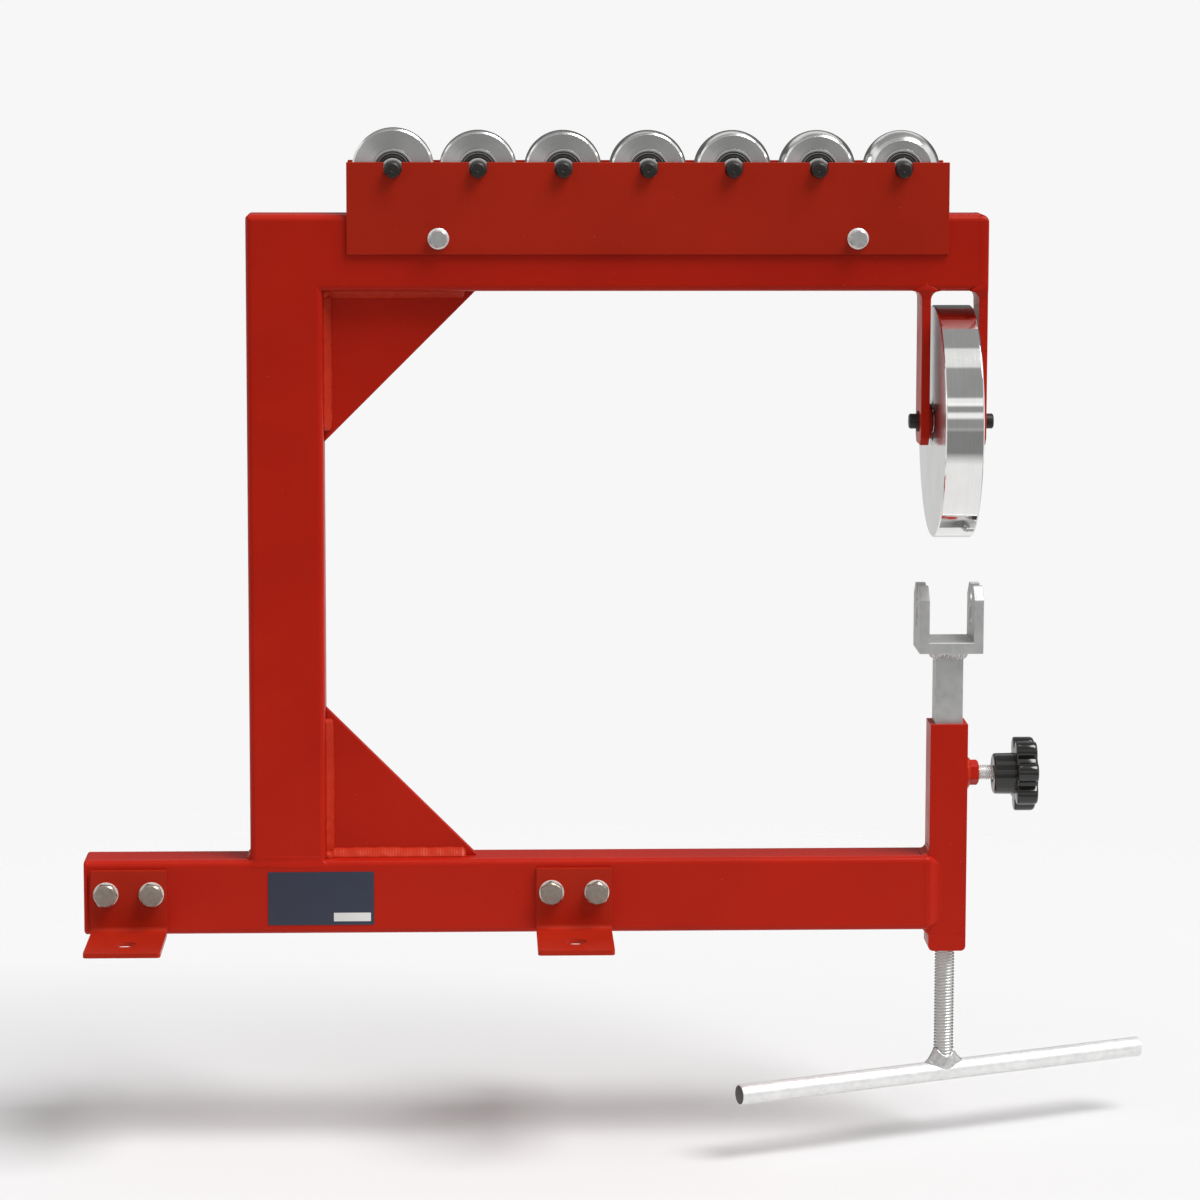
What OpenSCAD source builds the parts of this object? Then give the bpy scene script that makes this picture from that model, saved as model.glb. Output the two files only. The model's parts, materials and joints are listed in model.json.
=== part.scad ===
// Bench-edge english wheel: a welded C-frame with an upper wheel in a fork, a screw-lifted yoke
// that takes one of seven anvil wheels, and a rack on the upper arm that stores them.
// Millimetres, Z up. Origin: on the bench surface, midway between the four foot holes.

/* [Frame] */
// Width of the frame tube as seen from the front
tube_w = 60; // [56:1:70]
// Depth of the frame tube, front to back
tube_d = 40; // [38:1:50]
// Wall thickness of the frame tube
tube_wall = 3; // [2:0.5:4]
// Outer corner radius of the frame tube
tube_r = 5; // [4:0.5:6]
// Length of the lower beam to the left of the post
beam_tail = 132; // [110:1:160]
// Throat depth, from the post to the middle of the wheels
throat = 496; // [420:1:600]
// Throat height, from the lower beam to the upper arm
throat_h = 452; // [430:1:520]
// Thickness of the plate that closes the beam's left end
end_cap_t = 4; // [3:0.5:6]
// Length of a gusset's two short sides
gusset_leg = 120; // [90:1:150]
// Thickness of a gusset
gusset_t = 8; // [6:1:10]
// Leg length of the weld beads beside the gussets
gusset_bead = 6; // [4:0.5:6]
// Leg length of the weld beads where tubes and plates meet
joint_bead = 5; // [3:0.5:6]
// Radius ground on the corner where the post meets the upper arm
corner_r = 4; // [2:0.5:6]

/* [Feet] */
// Distance between the left and right foot holes
foot_pitch = 353; // [330:1:380]
// Distance from the beam's left end to the first foot's middle
foot_inset = 36; // [32:1:50]
// Width of a foot bracket
foot_w = 60; // [56:1:64]
// Thickness of a foot bracket
foot_t = 4; // [3:0.5:6]
// Height of a foot bracket against the beam
foot_h = 53; // [48:1:56]
// Length of a foot bracket along the bench, from the beam's face
foot_leg = 76; // [62:1:90]
// Inner radius of a foot bracket's bend
foot_bend_r = 4; // [2:0.5:5]
// Diameter of the hole in a foot for a bench bolt
foot_hole_d = 18; // [10:0.5:20]
// Distance from the beam's face to the foot hole
foot_hole_y = 46; // [38:1:48]
// Diameter of the bolts through the feet and the beam
foot_bolt_d = 10; // [8:1:12]
// Distance between the two bolts of one foot
foot_bolt_pitch = 36; // [30:1:38]
// Height of those bolts above the bench
foot_bolt_z = 34; // [32:1:36]
// Size across the flats of their heads and nuts
foot_bolt_af = 17; // [15:1:19]

/* [Upper wheel] */
// Diameter of the upper wheel
wheel_d = 184; // [160:1:200]
// Width of the upper wheel
wheel_w = 30; // [28:1:34]
// Gap between the upper wheel and the arm above it
wheel_gap = 12.5; // [8:0.5:20]
// Chamfer on the rim's two edges
wheel_chamfer = 1; // [0.5:0.25:2]
// Clear width of the fork
fork_gap = 38; // [38:1:44]
// Thickness of a fork ear
ear_t = 7; // [6:0.5:9]
// Depth of a fork ear, front to back
ear_d = 36; // [34:1:38]
// Reach of the ears below the axle
ear_reach = 18; // [17:1:24]
// Chamfer on the ears' lower corners
ear_chamfer = 6; // [3:0.5:8]
// Radius on the arm's top right corner
arm_end_r = 6; // [3:0.5:6]
// Diameter of the upper axle
axle_d = 12; // [10:0.5:12.5]
// Length of axle that stands out of each ear
axle_out = 7.5; // [5:0.5:10]
// Diameter of the bosses inside the ears
boss_d = 28; // [24:1:32]
// Thickness of the bosses
boss_t = 3; // [2:0.25:3.5]
// Outside diameter of the upper wheel's bearings
wheel_bearing_od = 37; // [34:1:42]
// Width of the upper wheel's bearings
wheel_bearing_w = 12; // [9:0.5:12]

/* [Yoke] */
// Clear width between the yoke's ears
yoke_gap = 35; // [33:1:37]
// Thickness of the yoke's ears
yoke_ear_t = 8; // [6:0.5:10]
// Depth of the yoke, front to back
yoke_d = 44; // [40:1:50]
// Thickness of the yoke's base
yoke_base_t = 9; // [7:0.5:10]
// Height of the yoke's underside above the bench
yoke_z = 224; // [215:1:230]
// Height of the yoke, from its underside to the tops of its ears
yoke_h = 53; // [52:1:56]
// Chamfer on the ears' upper corners
yoke_chamfer = 10; // [6:0.5:12]
// Depth of the open notches that take an anvil pin
yoke_notch = 13.5; // [12:0.5:14]
// Diameter of the cross holes below the notches
cross_hole_d = 15; // [10:0.5:16]
// Height of the cross holes above the yoke's underside
cross_hole_z = 27; // [26:0.5:28]
// Width of the square stem
stem_w = 22; // [20:0.5:23]
// Length of the stem
stem_len = 154; // [140:1:165]
// Size of the weld bead under the yoke
stem_bead = 6; // [4:0.5:8]

/* [Socket and lock] */
// Width of the square socket tube
socket_w = 30; // [30:0.5:34]
// Height of the socket's top above the bench
socket_top = 166; // [155:1:170]
// Reach of the socket and its nut below the bench surface
socket_drop = 18; // [15:1:22]
// Thickness of the screw's nut, which closes the socket's lower end
screw_nut_t = 14; // [10:0.5:15]
// Radius on the nut's lower edges
screw_nut_r = 4; // [2:0.5:5]
// Height of the lock stud above the bench
lock_z = 124.5; // [110:0.5:135]
// Diameter of the lock stud
stud_d = 12; // [10:0.5:12]
// Size across the flats of the welded lock nut
lock_nut_af = 18; // [18:0.5:20]
// Thickness of the welded lock nut
lock_nut_t = 10; // [8:0.5:11]
// Length of stud that shows between the nut and the knob
stud_show = 12; // [10:0.5:16]
// Diameter of the knob's boss
knob_boss_d = 33; // [28:1:36]
// Length of the knob's boss
knob_boss_l = 17; // [14:0.5:20]
// Diameter of the knob across its lobes
knob_d = 60; // [50:1:66]
// Thickness of the knob's star
knob_t = 17; // [14:0.5:20]
// Number of lobes
knob_lobes = 7; // [5:1:8]

/* [Lifting screw] */
// Diameter of the lifting screw
screw_d = 16; // [14:0.5:18]
// Diameter of the screw's journal in the stem
journal_d = 12; // [10:0.5:13]
// Length of the screw's journal
journal_l = 30; // [20:1:40]
// Distance from the bench surface down to the tee bar's middle
tee_drop = 120; // [115:1:140]
// Diameter of the tee bar
tee_d = 16; // [14:0.5:18]
// Length of the tee bar
tee_len = 366; // [300:1:400]
// Angle of the tee bar from the frame, at rest
tee_angle = 22; // [0:1:90]

/* [Anvil rack] */
// Length of the rack's plates
rack_len = 471; // [466:1:490]
// Height of the rack's plates
rack_h = 72; // [68:1:76]
// Thickness of the rack's plates
rack_t = 3; // [2:0.5:4]
// Height of the rack's plates above the arm
rack_rise = 41; // [41:1:46]
// Distance from the post's inner side to the rack
rack_x = 19; // [14:1:24]
// Diameter of the bolts through the rack and the arm
rack_bolt_d = 8; // [6:1:10]
// Distance of those bolts from the rack's ends
rack_bolt_x = 71.5; // [60:0.5:80]
// Height of those bolts above the plates' lower edge
rack_bolt_z = 12.5; // [11:0.5:14]

/* [Anvils] */
// Number of anvil wheels
anvil_count = 7; // [7:1:7]
// Distance between anvil pins in the rack
anvil_pitch = 66.5; // [66:0.25:67]
// Diameter of the crowned anvils
anvil_d = 61; // [58:0.5:62]
// Diameter of the flat anvil
flat_anvil_d = 64; // [58:0.5:65]
// Width of every anvil
anvil_w = 30; // [26:0.5:32]
// Chamfer on an anvil's edges
anvil_chamfer = 1.5; // [0.5:0.25:2]
// Diameter of the anvil pins
pin_d = 12; // [10:0.5:12.5]
// Length of the anvil pins
pin_len = 60; // [56:1:64]
// Chamfer on the anvil pins' ends
pin_chamfer = 1; // [0.5:0.25:1.5]
// Extra width of a notch over its pin
notch_play = 2; // [0.5:0.25:2.5]
// Depth of a pin's middle below the top of the rack's plates
pin_sink = 6; // [5:0.5:8]
// Outside diameter of an anvil's bearings
anvil_bearing_od = 32; // [30:1:34]
// Width of an anvil's bearings
anvil_bearing_w = 10; // [8:0.5:11]

/* [Data plate] */
// Length of the bare plate on the beam
plate_len = 84; // [60:1:100]
// Height of the plate
plate_h = 43; // [30:1:46]
// Thickness of the plate
plate_t = 0.5; // [0.3:0.1:1]
// Distance from the post's left side to the plate
plate_x = 14; // [5:1:30]
// Height of the plate's lower edge above the bench
plate_z = 7.5; // [6:0.5:9]

/* [Hidden] */
$fn = 96;

// Colours
red = [0.66, 0.12, 0.06];
steel = [0.72, 0.72, 0.71];
zinc = [0.66, 0.66, 0.65];
dark = [0.16, 0.15, 0.14];

// Clearances
fit = 0.02;
running = 0.05;
bolt_play = 0.5;
stem_play = 0.3;
tip_play = 0.3;
seal_play = 0.4;
over = 1;

// Crown radius of each anvil, from flat (0) to fully rounded
crowns = [0, 120, 75, 55, 42, 30, 18];
crown_steps = 12;

// Sides of the round parts of a hull
hull_sides = 24;

// Bearing rings: radial thickness of both rings, and the seals' thickness and depth
ring_t = 3;
seal_t = 1;
seal_in = 0.5;

// Hardware
washer_t = 2;
washer_over = 10.5;
nut_ratio = 0.8;
head_ratio = 0.64;
thread_out = 4;
flange_ratio = 2.1;
flange_t = 1.6;
flange_af_ratio = 1.625;
groove_depth = 0.25;
circlip_t = 1.2;
circlip_w = 2.5;
circlip_slot = 4;
knob_edge = 3;
knob_valley = 0.735;
lobe_ratio = 0.265;
stud_chamfer = 1;
nut_turn = 20;
bead_ring = 2.5;
bead_rim = 0.5;

// Welds of the yoke and the tee bar: least thickness, and height of the tee's weld above the bar
weld_edge = 0.5;
tee_weld_h = 10;
tee_weld_z = 3;

// Places along X
foot_x = foot_pitch / 2;
beam_x0 = -foot_x - foot_inset;
post_x0 = beam_x0 + beam_tail;
post_x1 = post_x0 + tube_w;
wheel_x = post_x1 + throat;
ear_x0 = wheel_x - fork_gap / 2 - ear_t;
arm_x1 = wheel_x + fork_gap / 2;
socket_x0 = wheel_x - socket_w / 2;
socket_x1 = wheel_x + socket_w / 2;
rack_x0 = post_x1 + rack_x;
rack_x1 = rack_x0 + rack_len;
first_pin = rack_x0 + (rack_len - (anvil_count - 1) * anvil_pitch) / 2;

// Places along Y
face_y = tube_d / 2;
foot_out_y = face_y + foot_t;
rack_out_y = face_y + rack_t;

// Places along Z
beam_z1 = tube_w;
arm_z0 = beam_z1 + throat_h;
arm_z1 = arm_z0 + tube_w;
axle_z = arm_z0 - wheel_gap - wheel_d / 2;
ear_z0 = axle_z - ear_reach;
rack_z1 = arm_z1 + rack_rise;
rack_z0 = rack_z1 - rack_h;
pin_z = rack_z1 - pin_sink;
notch_r = (pin_d + notch_play) / 2;
notch_floor = pin_z - pin_d / 2;
yoke_z1 = yoke_z + yoke_h;
stem_z0 = yoke_z - stem_len;
nut_z0 = -socket_drop;
nut_z1 = nut_z0 + screw_nut_t;
tee_z = -tee_drop;

// Places along the lock stud, measured along X
tip_x = wheel_x + stem_w / 2 + tip_play;
nut_x1 = socket_x1 + lock_nut_t;
knob_x0 = nut_x1 + stud_show;
star_x0 = knob_x0 + knob_boss_l;
knob_x1 = star_x0 + knob_t;
stud_x1 = star_x0 + knob_t / 2;

function anvil_dia(i) = i == 0 ? flat_anvil_d : anvil_d;
function pin_x(i) = first_pin + i * anvil_pitch;

// Drop of the anvil's rim at a distance from its middle
function crown_drop(r, w) = r == 0 ? 0 : r - sqrt(max(0, r * r - w * w));

// General shapes

// Rectangle with rounded corners, centred
module rounded_rect(w, h, r) {
    square([w - 2 * r, h], center = true);
    square([w, h - 2 * r], center = true);
    for (sx = [-1, 1], sy = [-1, 1])
        translate([sx * (w / 2 - r), sy * (h / 2 - r)]) circle(r = r);
}

// Tube section, with its width along X of the sketch
module tube_section(w, h, wall, r) {
    difference() {
        rounded_rect(w, h, r);
        rounded_rect(w - 2 * wall, h - 2 * wall, max(r - wall, 0.5));
    }
}

// Length of frame tube along X, from x0 to x1, standing on height z0
module tube_along_x(x0, x1, z0) {
    translate([x0, 0, z0 + tube_w / 2]) rotate([90, 0, 90])
        linear_extrude(x1 - x0) tube_section(tube_d, tube_w, tube_wall, tube_r);
}

module cylinder_x(x0, x1, r, y = 0, z = 0) {
    translate([x0, y, z]) rotate([0, 90, 0]) cylinder(h = x1 - x0, r = r);
}

module cylinder_y(y0, y1, r, x = 0, z = 0) {
    translate([x, y0, z]) rotate([-90, 0, 0]) cylinder(h = y1 - y0, r = r);
}

// Ring along X between two radii
module ring_x(x0, x1, r_out, r_in, z) {
    difference() {
        cylinder_x(x0, x1, r_out, 0, z);
        cylinder_x(x0 - over, x1 + over, r_in, 0, z);
    }
}

// Weld beads: a triangular fillet on the origin with its two legs along the positive axes
module bead_sketch(leg) {
    polygon([[0, 0], [leg, 0], [0, leg]]);
}

// Bead that runs along Y, with legs along X and Z
module bead_along_y(len, leg) {
    rotate([90, 0, 0]) linear_extrude(len, center = true) bead_sketch(leg);
}

// Bead that runs along +X, with legs along Y and Z
module bead_along_x(len, leg) {
    rotate([90, 0, 90]) linear_extrude(len) bead_sketch(leg);
}

// Bead that runs along +Z, with legs along X and Y
module bead_along_z(len, leg) {
    linear_extrude(len) bead_sketch(leg);
}

// Hexagon prism along +Y from the origin
module hex_y(len, af) {
    rotate([-90, 0, 0]) cylinder(h = len, d = af / cos(30), $fn = 6);
}

// Both faces of the mitre between the post and the arm
module below_mitre() {
    side = 2 * tube_w;
    translate([post_x0, 0, arm_z1]) rotate([90, 0, 0])
        linear_extrude(2 * tube_d, center = true)
        polygon([[-over, over], [side, -side], [side, over]]);
}

module above_mitre() {
    side = 2 * tube_w;
    translate([post_x0, 0, arm_z1]) rotate([90, 0, 0])
        linear_extrude(2 * tube_d, center = true)
        polygon([[-over, over], [side, -side], [-over, -side]]);
}

// What is ground off a corner whose two sides run along -X and -Z from x and z
module corner_round(x, z, r) {
    translate([x - r, 0, z - r]) rotate([90, 0, 0]) linear_extrude(2 * tube_d, center = true)
        difference() {
            square(2 * r);
            circle(r = r);
        }
}

module arm_corner_round() {
    translate([post_x0, 0, 0]) mirror([1, 0, 0]) corner_round(0, arm_z1, corner_r);
}

// Frame

module post() {
    color(red) difference() {
        translate([post_x0 + tube_w / 2, 0, beam_z1])
            linear_extrude(arm_z1 - beam_z1) tube_section(tube_w, tube_d, tube_wall, tube_r);
        below_mitre();
        arm_corner_round();
    }
}

module upper_arm() {
    color(red) difference() {
        tube_along_x(post_x0, arm_x1, arm_z0);
        above_mitre();
        arm_corner_round();
        rack_bolt_places() cylinder_y(-face_y - over, face_y + over, (rack_bolt_d + bolt_play) / 2);
    }
}

module lower_beam() {
    color(red) difference() {
        tube_along_x(beam_x0 + end_cap_t, socket_x0, 0);
        foot_bolt_places() cylinder_y(-face_y - over, face_y + over, (foot_bolt_d + bolt_play) / 2);
    }
}

module beam_end_cap() {
    color(red) translate([beam_x0, 0, tube_w / 2]) rotate([90, 0, 90])
        linear_extrude(end_cap_t) rounded_rect(tube_d, tube_w, tube_r);
}

// Gusset in the corner at the origin, with its sides along X and Z
module gusset() {
    rotate([90, 0, 0]) linear_extrude(gusset_t, center = true)
        polygon([[0, 0], [gusset_leg, 0], [0, gusset_leg]]);
}

module upper_gusset() {
    color(red) translate([post_x1, 0, arm_z0]) mirror([0, 0, 1]) gusset();
}

module lower_gusset() {
    color(red) translate([post_x1, 0, beam_z1]) gusset();
}

// Beads on both faces of a gusset that stands in the corner at the origin
module gusset_beads() {
    run = gusset_leg - 3 * gusset_bead;
    for (side = [0, 1]) mirror([0, side, 0]) {
        translate([gusset_bead, gusset_t / 2, 0]) bead_along_x(run, gusset_bead);
        translate([0, gusset_t / 2, gusset_bead]) bead_along_z(run, gusset_bead);
    }
}

module frame_welds() {
    flat = tube_d - 2 * tube_r;
    socket_flat = socket_w - 2 * stem_play;
    color(red) {
        translate([post_x1, 0, arm_z0]) mirror([0, 0, 1]) gusset_beads();
        translate([post_x1, 0, beam_z1]) gusset_beads();
        // Post on the beam, left side
        translate([post_x0, 0, beam_z1]) mirror([1, 0, 0]) bead_along_y(flat, joint_bead);
        // Beam on the socket, above and below
        translate([socket_x0, 0, beam_z1]) mirror([1, 0, 0]) bead_along_y(socket_flat, joint_bead);
        translate([socket_x0, 0, 0]) mirror([1, 0, 0]) mirror([0, 0, 1])
            bead_along_y(socket_flat, joint_bead);
        // Fork ears under the arm
        translate([ear_x0, 0, arm_z0]) mirror([1, 0, 0]) mirror([0, 0, 1])
            bead_along_y(flat, joint_bead);
        translate([ear_x0 + ear_t, 0, arm_z0]) mirror([0, 0, 1]) bead_along_y(flat, joint_bead);
        translate([arm_x1, 0, arm_z0]) mirror([1, 0, 0]) mirror([0, 0, 1])
            bead_along_y(flat, joint_bead);
        lock_nut_bead();
    }
}

// Ring of weld round the lock nut's foot
module lock_nut_bead() {
    nut_r = lock_nut_af / 2 / cos(30);
    difference() {
        translate([socket_x1, 0, lock_z]) rotate([0, 90, 0])
            cylinder(h = bead_ring, r1 = nut_r + bead_ring, r2 = nut_r + bead_rim);
        lock_hex(socket_x1 - over, nut_x1);
    }
}

// Fork

// Ear plate from x0, between two heights, with its lower corners cut off
module fork_ear(x0, z1) {
    half = ear_d / 2;
    difference() {
        translate([x0, 0, 0]) rotate([90, 0, 90]) linear_extrude(ear_t)
            polygon([
                [-half, ear_z0 + ear_chamfer], [-half + ear_chamfer, ear_z0],
                [half - ear_chamfer, ear_z0], [half, ear_z0 + ear_chamfer],
                [half, z1], [-half, z1]
            ]);
        cylinder_x(x0 - over, x0 + ear_t + over, axle_d / 2 + running, 0, axle_z);
    }
}

module fork_ear_inner() {
    color(red) fork_ear(ear_x0, arm_z0);
}

module fork_ear_outer() {
    color(red) difference() {
        fork_ear(arm_x1, arm_z1);
        corner_round(arm_x1 + ear_t, arm_z1, arm_end_r);
    }
}

// Boss on an ear's inner face, with a land that touches the bearing's inner ring
module fork_boss() {
    room = (fork_gap - wheel_w) / 2;
    difference() {
        union() {
            cylinder_x(-fork_gap / 2, -fork_gap / 2 + boss_t, boss_d / 2);
            cylinder_x(-fork_gap / 2, -fork_gap / 2 + room - fit, axle_d / 2 + ring_t - seal_in);
        }
        cylinder_x(-fork_gap / 2 - over, over, axle_d / 2 + running);
    }
}

module fork_bosses() {
    color(red) translate([wheel_x, 0, axle_z]) for (side = [0, 1]) mirror([side, 0, 0]) fork_boss();
}

// Upper wheel and its axle

// Half section of a bearing's outer ring with its two seals, from height 0 to w
module bearing_shell(od, w, bore) {
    seal_r = bore / 2 + ring_t + seal_play;
    rotate_extrude() {
        translate([od / 2 - ring_t, 0]) square([ring_t, w]);
        for (z = [seal_in, w - seal_in - seal_t])
            translate([seal_r, z]) square([od / 2 - ring_t / 2 - seal_r, seal_t]);
    }
}

module bearing_core(bore, w) {
    difference() {
        cylinder(h = w, r = bore / 2 + ring_t);
        translate([0, 0, -over]) cylinder(h = w + 2 * over, r = bore / 2 + fit);
    }
}

// Wheel blank with a pocket for a bearing in each face, its axis on Z and its middle at 0
module bored_wheel(section, w, bearing_od, bearing_w) {
    rotate_extrude() difference() {
        polygon(section);
        for (side = [-1, 1])
            translate([0, side * w / 2]) square([bearing_od + 2 * fit, 2 * bearing_w], center = true);
        square([bearing_od - 2 * ring_t, 2 * w], center = true);
    }
}

module upper_wheel() {
    r = wheel_d / 2;
    h = wheel_w / 2;
    c = wheel_chamfer;
    color(steel) translate([wheel_x, 0, axle_z]) rotate([0, 90, 0])
        bored_wheel(
            [[0, -h], [r - c, -h], [r, -h + c], [r, h - c], [r - c, h], [0, h]],
            wheel_w, wheel_bearing_od, wheel_bearing_w);
}

module wheel_bearing_places() {
    for (side = [0, 1]) translate([wheel_x, 0, axle_z]) mirror([side, 0, 0])
        translate([-wheel_w / 2, 0, 0]) rotate([0, 90, 0]) children();
}

module wheel_bearing_shells() {
    color(dark) wheel_bearing_places() bearing_shell(wheel_bearing_od, wheel_bearing_w, axle_d);
}

module wheel_bearing_cores() {
    color(steel) wheel_bearing_places() bearing_core(axle_d, wheel_bearing_w);
}

module circlip_place() {
    translate([wheel_x, 0, axle_z]) for (side = [0, 1]) mirror([side, 0, 0])
        translate([fork_gap / 2 + ear_t + running, 0, 0]) children();
}

module upper_axle() {
    half = fork_gap / 2 + ear_t + axle_out;
    color(dark) difference() {
        translate([wheel_x - half, 0, axle_z]) rotate([0, 90, 0]) chamfered_pin(axle_d, 2 * half);
        circlip_place() ring_x(0, circlip_t + running, axle_d, axle_d / 2 - groove_depth, 0);
    }
}

module axle_circlips() {
    color(dark) circlip_place() difference() {
        ring_x(0, circlip_t, axle_d / 2 + circlip_w, axle_d / 2 - groove_depth + fit, 0);
        translate([-over, -circlip_slot / 2, -axle_d]) cube([2 * over + circlip_t, circlip_slot, axle_d]);
    }
}

// Pin along +Z with chamfered ends
module chamfered_pin(d, len) {
    r = d / 2;
    c = pin_chamfer;
    rotate_extrude() polygon([[0, 0], [r - c, 0], [r, c], [r, len - c], [r - c, len], [0, len]]);
}

// Yoke and stem

module yoke() {
    outer = yoke_gap + 2 * yoke_ear_t;
    half = yoke_d / 2;
    notch_x = outer + 2 * over;
    notch_z = yoke_z1 - yoke_notch + notch_r;
    color(zinc) difference() {
        translate([wheel_x - outer / 2, 0, yoke_z]) rotate([90, 0, 90]) linear_extrude(outer)
            polygon([
                [-half, 0], [half, 0], [half, yoke_h - yoke_chamfer],
                [half - yoke_chamfer, yoke_h], [-half + yoke_chamfer, yoke_h],
                [-half, yoke_h - yoke_chamfer]
            ]);
        translate([wheel_x - yoke_gap / 2, -yoke_d, yoke_z + yoke_base_t])
            cube([yoke_gap, 2 * yoke_d, yoke_h]);
        cylinder_x(wheel_x - notch_x / 2, wheel_x + notch_x / 2, notch_r, 0, notch_z);
        translate([wheel_x - notch_x / 2, -notch_r, notch_z]) cube([notch_x, 2 * notch_r, yoke_notch]);
        cylinder_x(wheel_x - notch_x / 2, wheel_x + notch_x / 2, cross_hole_d / 2, 0,
            yoke_z + cross_hole_z);
    }
}

module stem() {
    color(zinc) difference() {
        translate([wheel_x - stem_w / 2, -stem_w / 2, stem_z0]) cube([stem_w, stem_w, stem_len]);
        translate([wheel_x, 0, stem_z0 - over]) cylinder(h = journal_l + over, r = journal_d / 2 + running);
    }
}

module yoke_weld() {
    wide = stem_w + 2 * stem_bead;
    narrow = stem_w + 2 * weld_edge;
    color(zinc) difference() {
        hull() {
            translate([wheel_x, 0, yoke_z - weld_edge / 2])
                cube([wide, wide, weld_edge], center = true);
            translate([wheel_x, 0, yoke_z - stem_bead - weld_edge])
                cube([narrow, narrow, weld_edge], center = true);
        }
        translate([wheel_x, 0, yoke_z]) cube([stem_w, stem_w, 4 * stem_bead], center = true);
    }
}

// Socket and lock

module stem_socket() {
    bore = stem_w + 2 * stem_play;
    color(red) difference() {
        translate([wheel_x, 0, (nut_z1 + socket_top) / 2])
            cube([socket_w, socket_w, socket_top - nut_z1], center = true);
        translate([wheel_x, 0, (nut_z1 + socket_top) / 2])
            cube([bore, bore, 2 * socket_top], center = true);
        cylinder_x(wheel_x, socket_x1 + over, (stud_d + bolt_play) / 2, 0, lock_z);
    }
}

module screw_nut() {
    r = screw_nut_r;
    h = screw_nut_t;
    color(red) difference() {
        translate([wheel_x, 0, nut_z0]) rotate([90, 0, 0])
            linear_extrude(socket_w, center = true) union() {
                translate([-socket_w / 2, r]) square([socket_w, h - r]);
                translate([-socket_w / 2 + r, 0]) square([socket_w - 2 * r, h]);
                for (side = [-1, 1]) translate([side * (socket_w / 2 - r), r]) circle(r = r);
            }
        translate([wheel_x, 0, nut_z0 - over])
            cylinder(h = h + 2 * over, r = screw_d / 2 + running);
    }
}

// Hexagon of the lock nut between two places along X
module lock_hex(x0, x1) {
    translate([x0, 0, lock_z]) rotate([nut_turn, 0, 0]) rotate([0, 90, 0])
        cylinder(h = x1 - x0, r = lock_nut_af / 2 / cos(30), $fn = 6);
}

module lock_nut() {
    color(red) difference() {
        lock_hex(socket_x1, nut_x1);
        cylinder_x(socket_x1 - over, nut_x1 + over, stud_d / 2 + running, 0, lock_z);
    }
}

module lock_stud() {
    r = stud_d / 2;
    c = stud_chamfer;
    len = stud_x1 - tip_x;
    color(zinc) translate([tip_x, 0, lock_z]) rotate([0, 90, 0])
        rotate_extrude() polygon([[0, 0], [r - c, 0], [r, c], [r, len], [0, len]]);
}

// Star of round lobes, as a sketch
module star() {
    lobe_r = knob_d / 2 * lobe_ratio;
    circle(r = knob_d / 2 * knob_valley);
    for (i = [0 : knob_lobes - 1]) rotate(i * 360 / knob_lobes)
        translate([knob_d / 2 - lobe_r, 0]) circle(r = lobe_r);
}

module lock_knob() {
    r = knob_d / 2;
    e = knob_edge;
    boss_r = knob_boss_d / 2;
    color(dark) translate([knob_x0, 0, lock_z]) rotate([0, 90, 0]) difference() {
        union() {
            rotate_extrude() polygon([
                [0, 0], [boss_r - e / 2, 0], [boss_r, e / 2], [boss_r, knob_boss_l + over],
                [0, knob_boss_l + over]
            ]);
            intersection() {
                translate([0, 0, knob_boss_l]) linear_extrude(knob_t) star();
                rotate_extrude() translate([0, knob_boss_l]) polygon([
                    [0, 0], [r - e / 2, 0], [r, e / 2], [r, knob_t - e],
                    [r - e, knob_t - e / 3], [r / 2, knob_t], [0, knob_t]
                ]);
            }
        }
        translate([0, 0, -over])
            cylinder(h = stud_x1 - knob_x0 + running + over, r = stud_d / 2 + running);
    }
}

// Lifting screw and tee bar

module tee_cylinder(r, len) {
    translate([wheel_x, 0, tee_z]) rotate([0, 0, tee_angle]) rotate([0, 90, 0])
        cylinder(h = len, r = r, center = true);
}

module lift_screw() {
    shoulder = stem_z0 - tip_play;
    color(zinc) difference() {
        translate([wheel_x, 0, 0]) union() {
            translate([0, 0, tee_z]) cylinder(h = shoulder - tee_z, r = screw_d / 2);
            translate([0, 0, shoulder - over]) cylinder(h = journal_l + over, r = journal_d / 2);
        }
        tee_cylinder(tee_d / 2 + fit, 4 * screw_d);
    }
}

module tee_bar() {
    color(zinc) tee_cylinder(tee_d / 2, tee_len);
}

module tee_weld() {
    foot = 2 * screw_d;
    top = tee_d / 2 + tee_weld_h;
    color(zinc) difference() {
        translate([wheel_x, 0, tee_z]) rotate([0, 0, tee_angle]) hull() {
            translate([0, 0, top])
                cylinder(h = weld_edge, r = screw_d / 2 + weld_edge, $fn = hull_sides);
            translate([0, 0, tee_weld_z]) cube([foot, tee_d, 2 * weld_edge], center = true);
        }
        tee_cylinder(tee_d / 2, 4 * foot);
        translate([wheel_x, 0, tee_z]) cylinder(h = 4 * tee_d, r = screw_d / 2);
    }
}

// Feet

module foot_bolt_places() {
    for (foot = [-1, 1], side = [-1, 1])
        translate([foot * foot_x + side * foot_bolt_pitch / 2, 0, foot_bolt_z]) children();
}

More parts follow.
